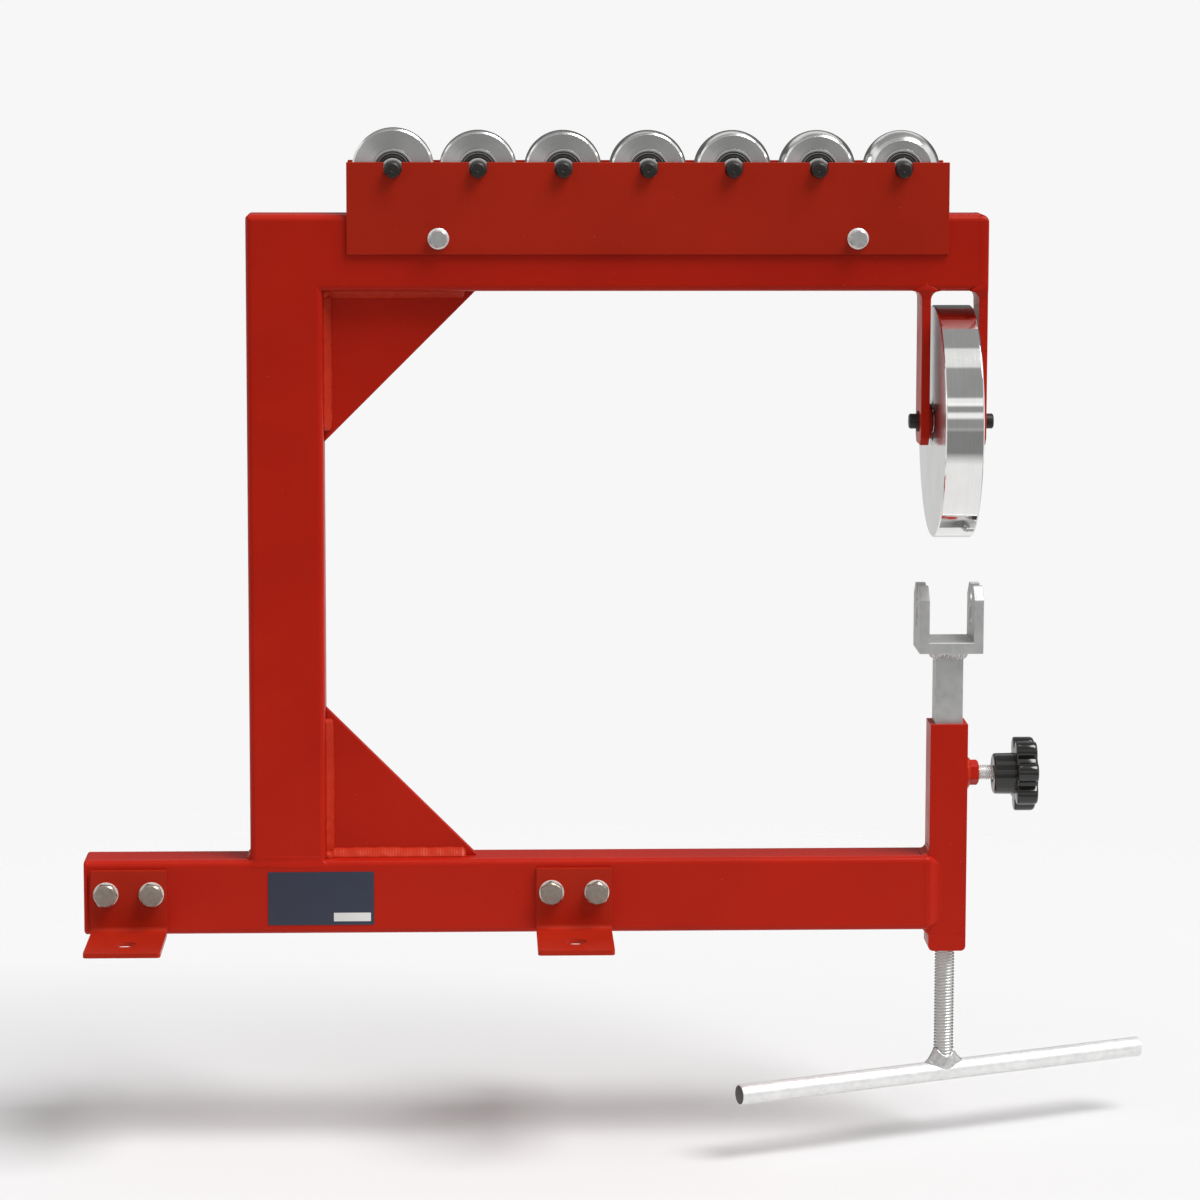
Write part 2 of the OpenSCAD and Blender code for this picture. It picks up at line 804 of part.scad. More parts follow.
// Bent bracket in front of the beam, centred on x
module foot(x) {
    inner = foot_bend_r;
    outer = inner + foot_t;
    difference() {
        translate([x - foot_w / 2, -face_y, 0]) rotate([90, 0, 90]) linear_extrude(foot_w) {
            translate([-foot_t, outer]) square([foot_t, foot_h - outer]);
            translate([-foot_leg, 0]) square([foot_leg - outer, foot_t]);
            translate([-outer, outer]) intersection() {
                difference() {
                    circle(r = outer);
                    circle(r = inner);
                }
                translate([0, -outer]) square(outer);
            }
        }
        translate([x, -face_y - foot_hole_y, -over]) cylinder(h = foot_t + 2 * over, d = foot_hole_d);
        foot_bolt_places() cylinder_y(-foot_out_y - over, 0, (foot_bolt_d + bolt_play) / 2);
    }
}

module foot_front_left() {
    color(red) foot(-foot_x);
}

module foot_front_right() {
    color(red) foot(foot_x);
}

module foot_back_left() {
    color(red) mirror([0, 1, 0]) foot(-foot_x);
}

module foot_back_right() {
    color(red) mirror([0, 1, 0]) foot(foot_x);
}

module foot_bolts() {
    head_h = foot_bolt_d * head_ratio;
    nut_h = foot_bolt_d * nut_ratio;
    head_y = -foot_out_y - washer_t;
    end_y = foot_out_y + washer_t + nut_h + thread_out;
    color(zinc) foot_bolt_places() {
        translate([0, head_y - head_h, 0]) hex_y(head_h, foot_bolt_af);
        cylinder_y(head_y - over, end_y, foot_bolt_d / 2);
    }
}

module foot_washers() {
    color(zinc) foot_bolt_places() for (side = [0, 1]) mirror([0, side, 0]) difference() {
        cylinder_y(foot_out_y, foot_out_y + washer_t, (foot_bolt_d + washer_over) / 2);
        cylinder_y(foot_out_y - over, foot_out_y + washer_t + over, (foot_bolt_d + bolt_play) / 2);
    }
}

module foot_nuts() {
    nut_h = foot_bolt_d * nut_ratio;
    color(zinc) foot_bolt_places() translate([0, foot_out_y + washer_t, 0]) difference() {
        hex_y(nut_h, foot_bolt_af);
        cylinder_y(-over, nut_h + over, foot_bolt_d / 2 + running);
    }
}

// Anvil rack

module rack_bolt_places() {
    for (x = [rack_x0 + rack_bolt_x, rack_x1 - rack_bolt_x])
        translate([x, 0, rack_z0 + rack_bolt_z]) children();
}

// Plate behind y0 with a notch for each pin
module rack_plate(y0) {
    difference() {
        translate([0, y0 + rack_t, 0]) rotate([90, 0, 0]) linear_extrude(rack_t) difference() {
            translate([rack_x0, rack_z0]) square([rack_len, rack_h]);
            for (i = [0 : anvil_count - 1]) translate([pin_x(i), notch_floor + notch_r]) {
                circle(r = notch_r);
                translate([-notch_r, 0]) square([2 * notch_r, pin_sink + pin_d]);
            }
        }
        rack_bolt_places() cylinder_y(y0 - over, y0 + rack_t + over, (rack_bolt_d + bolt_play) / 2);
    }
}

module rack_plate_front() {
    color(red) rack_plate(-rack_out_y);
}

module rack_plate_back() {
    color(red) rack_plate(face_y);
}

module rack_bolts() {
    head_h = rack_bolt_d * head_ratio;
    nut_h = rack_bolt_d * nut_ratio;
    af = rack_bolt_d * flange_af_ratio;
    color(zinc) rack_bolt_places() {
        translate([0, -rack_out_y - flange_t - head_h, 0]) hex_y(head_h + over / 2, af);
        cylinder_y(-rack_out_y - flange_t, -rack_out_y, rack_bolt_d * flange_ratio / 2);
        cylinder_y(-rack_out_y - over, rack_out_y + flange_t + nut_h + thread_out, rack_bolt_d / 2);
    }
}

module rack_nuts() {
    nut_h = rack_bolt_d * nut_ratio;
    af = rack_bolt_d * flange_af_ratio;
    color(zinc) rack_bolt_places() translate([0, rack_out_y, 0]) difference() {
        union() {
            cylinder_y(0, flange_t, rack_bolt_d * flange_ratio / 2);
            hex_y(flange_t + nut_h, af);
        }
        cylinder_y(-over, flange_t + nut_h + over, rack_bolt_d / 2 + running);
    }
}

// Anvils

// Points of an anvil's half section, from its lower face to its upper face
function anvil_section(d, crown) =
    let (
        r = d / 2,
        h = anvil_w / 2,
        c = anvil_chamfer,
        edge = h - c
    )
    concat(
        [[0, -h], [r - crown_drop(crown, edge) - c, -h]],
        crown == 0
            ? [[r, -edge], [r, edge]]
            : [for (k = [-crown_steps : crown_steps])
                let (w = k * edge / crown_steps) [r - crown_drop(crown, w), w]],
        [[r - crown_drop(crown, edge) - c, h], [0, h]]
    );

// Puts its children on the axis of one pin, along +Y from the front
module at_pin(i, y = 0) {
    translate([pin_x(i), y, pin_z]) rotate([-90, 0, 0]) children();
}

module anvil(i) {
    color(steel) at_pin(i)
        bored_wheel(anvil_section(anvil_dia(i), crowns[i]), anvil_w, anvil_bearing_od, anvil_bearing_w);
}

module anvil_bearings(i) {
    color(dark) for (y = [-anvil_w / 2, anvil_w / 2 - anvil_bearing_w])
        at_pin(i, y) bearing_shell(anvil_bearing_od, anvil_bearing_w, pin_d);
}

module anvil_pin(i) {
    color(dark) {
        at_pin(i, -pin_len / 2) chamfered_pin(pin_d, pin_len);
        for (y = [-anvil_w / 2, anvil_w / 2 - anvil_bearing_w])
            at_pin(i, y) bearing_core(pin_d, anvil_bearing_w);
    }
}

// Data plate

module data_plate() {
    color([0.12, 0.15, 0.24]) translate([post_x0 + plate_x, -face_y - plate_t, plate_z])
        cube([plate_len, plate_t, plate_h]);
}

post();
upper_arm();
lower_beam();
beam_end_cap();
upper_gusset();
lower_gusset();
fork_ear_inner();
fork_ear_outer();
fork_bosses();
frame_welds();
stem_socket();
screw_nut();
lock_nut();
foot_front_left();
foot_front_right();
foot_back_left();
foot_back_right();
foot_bolts();
foot_washers();
foot_nuts();
rack_plate_front();
rack_plate_back();
rack_bolts();
rack_nuts();
data_plate();
upper_wheel();
wheel_bearing_shells();
wheel_bearing_cores();
upper_axle();
axle_circlips();
yoke();
stem();
yoke_weld();
lift_screw();
tee_bar();
tee_weld();
lock_stud();
lock_knob();
anvil(0);  // anvil_1
anvil(1);  // anvil_2
anvil(2);  // anvil_3
anvil(3);  // anvil_4
anvil(4);  // anvil_5
anvil(5);  // anvil_6
anvil(6);  // anvil_7
anvil_bearings(0);  // anvil_1_bearings
anvil_bearings(1);  // anvil_2_bearings
anvil_bearings(2);  // anvil_3_bearings
anvil_bearings(3);  // anvil_4_bearings
anvil_bearings(4);  // anvil_5_bearings
anvil_bearings(5);  // anvil_6_bearings
anvil_bearings(6);  // anvil_7_bearings
anvil_pin(0);  // anvil_1_pin
anvil_pin(1);  // anvil_2_pin
anvil_pin(2);  // anvil_3_pin
anvil_pin(3);  // anvil_4_pin
anvil_pin(4);  // anvil_5_pin
anvil_pin(5);  // anvil_6_pin
anvil_pin(6);  // anvil_7_pin
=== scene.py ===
"""English wheel: finishes, modelled details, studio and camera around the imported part. Metres, Z up."""

import json
import math

import bmesh
import bpy
import numpy as np
from mathutils import Matrix, Vector


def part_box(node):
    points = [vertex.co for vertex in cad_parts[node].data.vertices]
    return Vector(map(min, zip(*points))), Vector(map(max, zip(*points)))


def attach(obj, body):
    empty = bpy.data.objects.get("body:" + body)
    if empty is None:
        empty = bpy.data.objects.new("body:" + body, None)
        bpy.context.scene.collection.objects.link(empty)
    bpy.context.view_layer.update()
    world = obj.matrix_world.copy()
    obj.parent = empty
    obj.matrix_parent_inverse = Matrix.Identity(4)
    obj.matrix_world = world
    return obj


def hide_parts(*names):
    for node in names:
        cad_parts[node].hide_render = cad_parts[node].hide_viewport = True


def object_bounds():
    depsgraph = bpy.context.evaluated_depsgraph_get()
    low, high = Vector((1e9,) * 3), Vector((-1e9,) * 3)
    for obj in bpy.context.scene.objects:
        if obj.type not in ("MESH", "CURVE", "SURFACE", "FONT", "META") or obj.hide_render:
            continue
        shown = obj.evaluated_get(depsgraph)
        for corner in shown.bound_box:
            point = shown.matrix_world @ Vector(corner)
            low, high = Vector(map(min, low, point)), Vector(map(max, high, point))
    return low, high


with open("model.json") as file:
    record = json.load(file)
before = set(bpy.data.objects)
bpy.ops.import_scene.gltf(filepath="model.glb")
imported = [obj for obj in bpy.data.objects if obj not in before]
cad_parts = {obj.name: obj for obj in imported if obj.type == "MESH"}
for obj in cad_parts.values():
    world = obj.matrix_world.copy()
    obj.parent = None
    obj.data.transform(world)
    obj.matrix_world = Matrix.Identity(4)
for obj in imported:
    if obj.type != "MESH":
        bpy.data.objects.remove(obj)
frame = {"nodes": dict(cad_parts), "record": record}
cad_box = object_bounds()

MM = 0.001
TURN = 2 * math.pi
RIGHT_ANGLE = math.pi / 2

# Faces that meet at less than this are shaded as one
SMOOTH_ANGLE = math.radians(32)
HEXAGON_ANGLE = math.radians(18)
WHEEL_ANGLE = math.radians(20)
KNOB_ANGLE = math.radians(48)
THREAD_ANGLE = math.radians(50)
ANY_ANGLE = math.pi

# Camera: the photograph's viewpoint, fitted to the frame's edges
IMAGE_SIDE = 1200
SENSOR = 36.0
CAMERA_AT = Vector((90.8, -3100.0, 740.0)) * MM
CAMERA_PITCH = 0.1155
CAMERA_YAW = 0.0343
CAMERA_ROLL = -0.0020
CAMERA_FOCAL_PX = 3946.6
CAMERA_SHIFT_PX = -144

# Sizes that the frame's boxes don't give
TUBE_R = 5 * MM
ARM_END_R = 6 * MM
GUSSET_T = 8 * MM
GUSSET_BEAD = 6.72 * MM
JOINT_BEAD = 5 * MM
PIN_D = 12 * MM
SCREW_PITCH = 2.5 * MM
JOURNAL_R = 6 * MM
JOURNAL_LEN = 30 * MM
STUD_PITCH = 1.75 * MM
ANVIL_W = 30 * MM
ANVIL_CHAMFER = 1.5 * MM
ANVIL_BEARING_OD = 32 * MM
ANVIL_BEARING_W = 10 * MM
WHEEL_BEARING_OD = 37 * MM
WHEEL_BEARING_W = 12 * MM
RING_T = 3 * MM
TEE_D = 16 * MM
TEE_LEN = 366 * MM
TEE_ANGLE = math.radians(22)
CLIP_T = 1.2 * MM
CROWNS = [0, 120 * MM, 75 * MM, 55 * MM, 42 * MM, 30 * MM, 18 * MM]

BODY_OF = {node: body for body, nodes in frame["record"]["behaviour"]["bodies"].items() for node in nodes}


# Places from the frame

def low(node):
    return Vector(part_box(node)[0])


def high(node):
    return Vector(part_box(node)[1])


def middle(node):
    return (low(node) + high(node)) / 2


def size(node):
    return high(node) - low(node)


def polar(r, a):
    return r * math.cos(a), r * math.sin(a)


# Materials

class Nodes:
    """A node tree, with short ways to add nodes and link them."""

    def __init__(self, tree):
        self.tree = tree

    def add(self, kind, inputs=None, **settings):
        node = self.tree.nodes.new(kind)
        for key, value in settings.items():
            setattr(node, key, value)
        for key, value in (inputs or {}).items():
            self.feed(node.inputs[key], value)
        return node

    def feed(self, socket, value):
        if isinstance(value, bpy.types.NodeSocket):
            self.tree.links.new(value, socket)
        elif isinstance(value, tuple) and len(value) == 3 and socket.type == "RGBA":
            socket.default_value = (*value, 1.0)
        else:
            socket.default_value = value

    def math(self, operation, a, b=0.0, c=0.0):
        return self.add("ShaderNodeMath", {0: a, 1: b, 2: c}, operation=operation).outputs[0]

    def vector(self, operation, inputs):
        return self.add("ShaderNodeVectorMath", inputs, operation=operation).outputs

    def spread(self, value, from_low, from_high, to_low, to_high):
        inputs = {"Value": value, "From Min": from_low, "From Max": from_high, "To Min": to_low,
                  "To Max": to_high}
        return self.add("ShaderNodeMapRange", inputs).outputs["Result"]


class Finish(Nodes):
    """One node material. Its textures use object coordinates, so they stay on a piece as it moves."""

    def __init__(self, name):
        self.material = bpy.data.materials.new(name)
        self.material.use_nodes = True
        super().__init__(self.material.node_tree)
        self.shader = self.tree.nodes["Principled BSDF"]
        self.place = self.add("ShaderNodeTexCoord").outputs["Object"]

    def set(self, **values):
        for key, value in values.items():
            self.feed(self.shader.inputs[key.replace("_", " ")], value)

    def noise(self, scale, detail=2.0, roughness=0.5, at=None, output="Fac"):
        inputs = {"Vector": at or self.place, "Scale": scale, "Detail": detail, "Roughness": roughness}
        return self.add("ShaderNodeTexNoise", inputs).outputs[output]

    def cells(self, scale, at=None, feature="F1"):
        inputs = {"Vector": at or self.place, "Scale": scale}
        return self.add("ShaderNodeTexVoronoi", inputs, feature=feature).outputs["Distance"]

    def blend(self, factor, a, b):
        inputs = {"Factor": factor, "A": a, "B": b}
        return self.add("ShaderNodeMix", inputs, data_type="RGBA").outputs["Result"]

    def turned(self, centre, axis, fine, round_turn):
        """Coordinates round an axis: along it and out from it finely, round it slowly."""
        shifted = self.vector("ADD", {0: self.place, 1: tuple(-c for c in centre)})[0]
        parts = self.add("ShaderNodeSeparateXYZ", {0: shifted}).outputs
        u, v = [parts[k] for k in range(3) if k != axis]
        out = self.math("SQRT", self.math("ADD", self.math("POWER", u, 2.0), self.math("POWER", v, 2.0)))
        inputs = {0: self.math("MULTIPLY", parts[axis], fine), 1: self.math("MULTIPLY", out, fine),
                  2: self.math("MULTIPLY", self.math("ARCTAN2", v, u), round_turn)}
        return self.add("ShaderNodeCombineXYZ", inputs).outputs[0]

    def bump(self, *layers):
        """Each layer is a height from 0 to 1 and the depth in metres that it stands for."""
        normal = None
        for height, depth in layers:
            inputs = {"Height": height, "Distance": depth, "Strength": 1.0}
            if normal:
                inputs["Normal"] = normal
            normal = self.add("ShaderNodeBump", inputs).outputs["Normal"]
        self.set(Normal=normal)
        return self


def powder_coat(name, colour, shade, roughness=0.30):
    """Semi-gloss powder coat: faint orange peel, slow drift of tone, a few dust nibs."""
    f = Finish(name)
    mottled = f.blend(f.spread(f.noise(9.0, 3.0), 0.3, 0.7, 0.0, 1.0), shade, colour)
    nib = f.math("MULTIPLY", f.spread(f.cells(150.0), 0.035, 0.06, 1.0, 0.0),
                 f.math("GREATER_THAN", f.noise(140.0, 0.0), 0.66))
    f.set(Base_Color=f.blend(f.math("MULTIPLY", nib, 0.35), mottled, (0.75, 0.35, 0.22)),
          Roughness=f.spread(f.noise(45.0, 3.0), 0.3, 0.7, roughness, roughness + 0.09),
          Specular_IOR_Level=0.22, Specular_Tint=(1.0, 0.62, 0.48, 1.0))
    return f.bump((f.noise(330.0), 0.045 * MM), (f.noise(60.0), 0.06 * MM), (nib, 0.10 * MM))


def turned_steel(name, centre, axis, colour, roughness, line_depth, anisotropy=0.0):
    """Steel with fine lathe lines round its axis."""
    f = Finish(name)
    lines = f.noise(1.0, 4.0, 0.7, at=f.turned(centre, axis, 2600.0, 0.7))
    tone = f.math("MULTIPLY", f.spread(lines, 0.25, 0.75, 0.90, 1.08),
                  f.spread(f.noise(38.0, 3.0), 0.3, 0.7, 0.94, 1.05))
    f.set(Base_Color=f.vector("SCALE", {0: colour, "Scale": tone})[0], Metallic=1.0,
          Roughness=f.spread(lines, 0.25, 0.75, roughness * 0.8, roughness * 1.25))
    if anisotropy:
        tangent = f.add("ShaderNodeTangent", direction_type="RADIAL", axis="XYZ"[axis])
        f.set(Anisotropic=anisotropy, Tangent=tangent.outputs[0])
    return f.bump((lines, line_depth))


def coated_steel(name, dark, light, roughness, cell_scale, grain_depth, metallic=1.0):
    """Zinc or galvanised coat: soft cells of tone over a fine grain."""
    f = Finish(name)
    drift = f.vector("SCALE", {0: f.noise(90.0, output="Color"), "Scale": 0.006})[0]
    cell = f.cells(cell_scale, f.vector("ADD", {0: f.place, 1: drift})[0], "SMOOTH_F1")
    tone = f.math("MULTIPLY_ADD", f.noise(24.0, 4.0, 0.6), 0.6, f.math("MULTIPLY", cell, 0.55))
    speck = f.spread(f.noise(900.0), 0.3, 0.7, -0.06, 0.06)
    f.set(Base_Color=f.blend(f.math("ADD", tone, speck), dark, light), Metallic=metallic,
          Roughness=f.spread(f.noise(170.0, 3.0), 0.3, 0.7, roughness * 0.85, roughness * 1.15))
    return f.bump((f.noise(700.0, 3.0), grain_depth), (cell, grain_depth))


def blackened_steel(name, centre, axis):
    """Black oxide over lathe lines, rubbed a little in places."""
    f = Finish(name)
    lines = f.noise(1.0, 3.0, 0.6, at=f.turned(centre, axis, 1800.0, 0.8))
    rubbed = f.spread(f.noise(420.0, 4.0, 0.7), 0.58, 0.75, 0.0, 0.5)
    f.set(Base_Color=f.blend(rubbed, (0.030, 0.028, 0.025), (0.12, 0.11, 0.10)), Metallic=0.55,
          Roughness=f.spread(lines, 0.3, 0.7, 0.34, 0.5))
    return f.bump((lines, 0.02 * MM))


def rubber(name):
    f = Finish(name)
    f.set(Base_Color=f.blend(f.noise(300.0), (0.018, 0.017, 0.016), (0.040, 0.037, 0.034)),
          Roughness=f.spread(f.noise(500.0), 0.3, 0.7, 0.45, 0.6), Specular_IOR_Level=0.4)
    return f.bump((f.noise(1200.0), 0.02 * MM))


def gloss_plastic(name):
    f = Finish(name)
    f.set(Base_Color=f.blend(f.noise(30.0), (0.010, 0.0095, 0.009), (0.016, 0.015, 0.014)),
          Roughness=f.spread(f.noise(80.0, 3.0), 0.3, 0.7, 0.09, 0.16), Specular_IOR_Level=0.6)
    return f.bump((f.noise(120.0), 0.03 * MM))


def printed_film(name, colour, shade):
    f = Finish(name)
    f.set(Base_Color=f.blend(f.noise(60.0, 3.0), shade, colour),
          Roughness=f.spread(f.noise(200.0), 0.3, 0.7, 0.32, 0.42))
    return f.bump((f.noise(500.0), 0.015 * MM))


RED = powder_coat("red_powder", (0.445, 0.0120, 0.0040), (0.385, 0.0098, 0.0034))
# Lighter copy of the red for the weld beads: a painted highlight for the light their curved faces catch
BEAD_RED_PAINTED_HIGHLIGHT = powder_coat("bead_red_painted_highlight", (0.50, 0.0300, 0.0120), (0.40, 0.0210, 0.0080), 0.24)
BRACKET_RED = powder_coat("bracket_red_powder", (0.40, 0.0175, 0.0058), (0.335, 0.0140, 0.0046))
ZINC_GREY = coated_steel("zinc_grey", (0.40, 0.405, 0.40), (0.62, 0.62, 0.61), 0.50, 130.0, 0.03 * MM, 0.75)
GALVANISED = coated_steel("galvanised", (0.66, 0.67, 0.67), (0.93, 0.93, 0.92), 0.40, 210.0, 0.04 * MM, 0.7)
SCREW_ZINC = coated_steel("screw_zinc", (0.60, 0.60, 0.59), (0.76, 0.76, 0.74), 0.24, 900.0, 0.004 * MM, 0.9)
WELD_ZINC = coated_steel("weld_zinc", (0.30, 0.30, 0.295), (0.78, 0.78, 0.77), 0.36, 380.0, 0.25 * MM, 0.8)
SAWN_STEEL = coated_steel("sawn_steel", (0.035, 0.033, 0.031), (0.12, 0.115, 0.11), 0.45, 500.0, 0.05 * MM,
                          0.6)
BRIGHT_ZINC = coated_steel("bright_zinc", (0.62, 0.62, 0.61), (0.88, 0.88, 0.86), 0.28, 260.0, 0.015 * MM,
                           0.5)
ZINC_FACE = coated_steel("zinc_face", (0.42, 0.42, 0.41), (0.74, 0.74, 0.72), 0.32, 260.0, 0.03 * MM, 0.8)
STAINLESS = coated_steel("stainless", (0.22, 0.196, 0.168), (0.44, 0.395, 0.335), 0.34, 300.0, 0.02 * MM)
WASHER_STEEL = coated_steel("washer_steel", (0.66, 0.62, 0.57), (0.86, 0.82, 0.76), 0.30, 280.0,
                            0.015 * MM, 0.35)
RUBBER = rubber("seal_rubber")
BLACK_PLASTIC = gloss_plastic("black_gloss_plastic")
NAVY_FILM = printed_film("navy_film", (0.021, 0.027, 0.052), (0.016, 0.021, 0.041))
WHITE_FILM = printed_film("white_film", (0.72, 0.71, 0.68), (0.64, 0.63, 0.60))


# Mesh tools

def join_points(bm, distance=1e-7):
    bmesh.ops.remove_doubles(bm, verts=bm.verts, dist=distance)


def mesh_from(name, points, faces, matrix=None):
    """Closed mesh from points and faces, with faces turned outwards and no double points."""
    mesh = bpy.data.meshes.new(name)
    mesh.from_pydata([tuple(p) for p in points], [], faces)
    bm = bmesh.new()
    bm.from_mesh(mesh)
    join_points(bm)
    bmesh.ops.dissolve_degenerate(bm, edges=bm.edges, dist=1e-7)
    bmesh.ops.recalc_face_normals(bm, faces=bm.faces)
    if matrix is not None:
        bmesh.ops.transform(bm, matrix=matrix, verts=bm.verts)
    bm.to_mesh(mesh)
    bm.free()
    return mesh


def skin(name, rows, matrix=None, ends="capped"):
    """Solid through rows with one count of points. Its ends are capped, joined, or points on its axis."""
    n, last = len(rows[0]), len(rows) - 1
    pairs = [(i * n, (i + 1) * n) for i in range(last)]
    if ends == "joined":
        pairs.append((last * n, 0))
    faces = [[i + k, i + (k + 1) % n, j + (k + 1) % n, j + k] for i, j in pairs for k in range(n)]
    if ends == "capped":
        faces += [list(range(n)), [last * n + k for k in reversed(range(n))]]
    return mesh_from(name, [p for row in rows for p in row], faces, matrix)


def merged(name, meshes):
    """One mesh from several. Their material indices are kept."""
    bm = bmesh.new()
    for mesh in meshes:
        bm.from_mesh(mesh)
        bpy.data.meshes.remove(mesh)
    mesh = bpy.data.meshes.new(name)
    bm.to_mesh(mesh)
    bm.free()
    return mesh


def painted(mesh, index):
    """The mesh with every face given one material index."""
    mesh.polygons.foreach_set("material_index", [index] * len(mesh.polygons))
    return mesh


def mark_sides(mesh, way, index, least=0.75):
    """Gives the faces that look along a direction, either way, another material."""
    for face in mesh.polygons:
        if abs(face.normal.dot(way)) > least:
            face.material_index = index


def piece(name, mesh, finishes, node, angle=SMOOTH_ANGLE, weighted=False):
    """A visible piece that stands for a CAD node and rides on its body."""
    obj = bpy.data.objects.new(name, mesh)
    bpy.context.scene.collection.objects.link(obj)
    for finish in finishes:
        mesh.materials.append(finish.material)
    mesh.polygons.foreach_set("use_smooth", [True] * len(mesh.polygons))
    mesh.set_sharp_from_angle(angle=angle)
    mesh.update()
    if weighted:
        obj.modifiers.new("flat_faces", "WEIGHTED_NORMAL").keep_sharp = True
        apply_modifiers(obj)
    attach(obj, BODY_OF[node])
    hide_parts(node)


def group(name, meshes, finishes, node, angle=SMOOTH_ANGLE):
    """One visible piece from several meshes."""
    piece(name, merged(name, meshes), finishes, node, angle)


def evaluated_mesh(obj):
    bpy.context.view_layer.update()
    return bpy.data.meshes.new_from_object(obj.evaluated_get(bpy.context.evaluated_depsgraph_get()))


def apply_modifiers(obj):
    mesh, old = evaluated_mesh(obj), obj.data
    obj.modifiers.clear()
    obj.data = mesh
    bpy.data.meshes.remove(old)


def along(axis, at):
    """Matrix that takes a shape built round Z to a place, with Z turned to the axis 0, 1 or 2."""
    turn = {0: Matrix.Rotation(RIGHT_ANGLE, 4, "Y"), 1: Matrix.Rotation(-RIGHT_ANGLE, 4, "X"), 2: Matrix()}
    return Matrix.Translation(at) @ turn[axis]


def facing_front(at):
    """Takes a sketch's X and Y to the part's X and Z, and its Z to the front."""
    return Matrix.Translation(at) @ Matrix.Rotation(RIGHT_ANGLE, 4, "X")


def rounded(points, radius, steps=4, closed=True):
    """Polyline with its corners rounded by one radius, or by one for each corner. 0 keeps a corner."""
    count = len(points)
    radii = radius if isinstance(radius, (list, tuple)) else [radius] * count
    out = []
    for i, point in enumerate(points):
        p = Vector(point)
        ends = not closed and i in (0, count - 1)
        if ends or radii[i] <= 0:
            out.append(tuple(p))
            continue
        a = (Vector(points[i - 1]) - p).normalized()
        b = (Vector(points[(i + 1) % count]) - p).normalized()
        half = a.angle(b) / 2
        if half > RIGHT_ANGLE - 1e-3:
            out.append(tuple(p))
            continue
        reach = radii[i] / math.tan(half)
        centre = p + (a + b).normalized() * (radii[i] / math.sin(half))
        s, t = p + a * reach - centre, p + b * reach - centre
        sweep = s.angle(t)
        for k in range(steps + 1):
            turn = sweep * k / steps
            spoke = (s * math.sin(sweep - turn) + t * math.sin(turn)).normalized()
            out.append(tuple(centre + spoke * radii[i]))
    return out


def soft_rect(a0, a1, b0, b1, radius, steps=3):
    corners = [(a0, b0, 0), (a1, b0, 0), (a1, b1, 0), (a0, b1, 0)]
    return [(a, b) for a, b, _ in rounded(corners, radius, steps)]


def spun(rows, angles):
    """Rows of points round Z. A row is one (radius, height), or a list with one for each angle."""
    full = [row if isinstance(row, list) else [row] * len(angles) for row in rows]
    return [[(*polar(r, a), z) for a, (r, z) in zip(angles, row)] for row in full]


def lathe(name, section, matrix, sides=96):
    """Solid of revolution round Z from a closed or axis-to-axis section of (radius, height)."""
    on_axis = section[0][0] == 0 and section[-1][0] == 0
    rows = spun(section, [TURN * k / sides for k in range(sides)])
    return skin(name, rows, matrix, "on axis" if on_axis else "joined")


def slab(name, outline, holes, thickness, edge, matrix):
    """Plate in the sketch's XY plane, centred on it, with round or straight holes and softened edges."""
    curve = bpy.data.curves.new(name, "CURVE")
    curve.dimensions = "2D"
    curve.fill_mode = "BOTH"
    for ring in [outline, *holes]:
        spline = curve.splines.new("POLY")
        spline.points.add(len(ring) - 1)
        spline.points.foreach_set("co", [c for x, y in ring for c in (x, y, 0, 1)])
        spline.use_cyclic_u = True
    curve.extrude = thickness / 2 - edge
    curve.bevel_depth = edge
    curve.bevel_resolution = 2
    curve.offset = -edge
    obj = bpy.data.objects.new(name, curve)
    bpy.context.scene.collection.objects.link(obj)
    mesh = evaluated_mesh(obj)
    bpy.data.objects.remove(obj)
    bpy.data.curves.remove(curve)
    bm = bmesh.new()
    bm.from_mesh(mesh)
    join_points(bm, 1e-6)
    bmesh.ops.recalc_face_normals(bm, faces=bm.faces)
    bmesh.ops.transform(bm, matrix=matrix, verts=bm.verts)
    bm.to_mesh(mesh)
    bm.free()
    return mesh


def circle(x, y, r, sides=48):
    around = [polar(r, TURN * k / sides) for k in range(sides)]
    return [(x + u, y + v) for u, v in around]


def softened(node, width, finish, steps=2, angle=28.0, corners=None, corner_r=0.0):
    """Copy of a CAD node with its sharp edges rounded, which then stands for the node.

    The edges that corners picks out are rounded first, to corner_r."""
    bm = bmesh.new()
    bm.from_mesh(frame["nodes"][node].data)
    join_points(bm, 1e-6)
    bmesh.ops.dissolve_limit(bm, angle_limit=math.radians(0.4), verts=bm.verts, edges=bm.edges)

    def bevel(edges, offset, segments):
        bmesh.ops.bevel(bm, geom=edges, offset=offset, segments=segments, profile=0.5, affect="EDGES",
                        clamp_overlap=True)

    if corners:
        bevel([e for e in bm.edges if corners(e)], corner_r, 6)
    limit = math.radians(angle)
    bevel([e for e in bm.edges if len(e.link_faces) == 2 and e.calc_face_angle(0) > limit], width, steps)
    bmesh.ops.triangulate(bm, faces=[f for f in bm.faces if len(f.verts) > 4])
    mesh = bpy.data.meshes.new(node + "_look")
    bm.to_mesh(mesh)
    bm.free()
    piece(node + "_look", mesh, [finish], node, weighted=True)


# Round parts

def sphere_drop(crown, w):
    """How far a crowned rim has dropped at a distance w from its middle."""
    return 0.0 if crown == 0 else crown - math.sqrt(crown * crown - w * w)


def pocketed_wheel(name, rim, width, bearing_od, bearing_w, matrix, sides):
    """Wheel from its rim points (radius, height), with a chamfered bearing pocket in each face."""
    half, lip = width / 2, 0.4 * MM
    pocket, bore = bearing_od / 2, bearing_od / 2 - RING_T
    floor_z = half - bearing_w
    section = [(pocket + lip, -half), *rim, (pocket + lip, half), (pocket, half - lip), (pocket, floor_z),
               (bore, floor_z), (bore, -floor_z), (pocket, -floor_z), (pocket, -half + lip)]
    return lathe(name, section, matrix, sides)


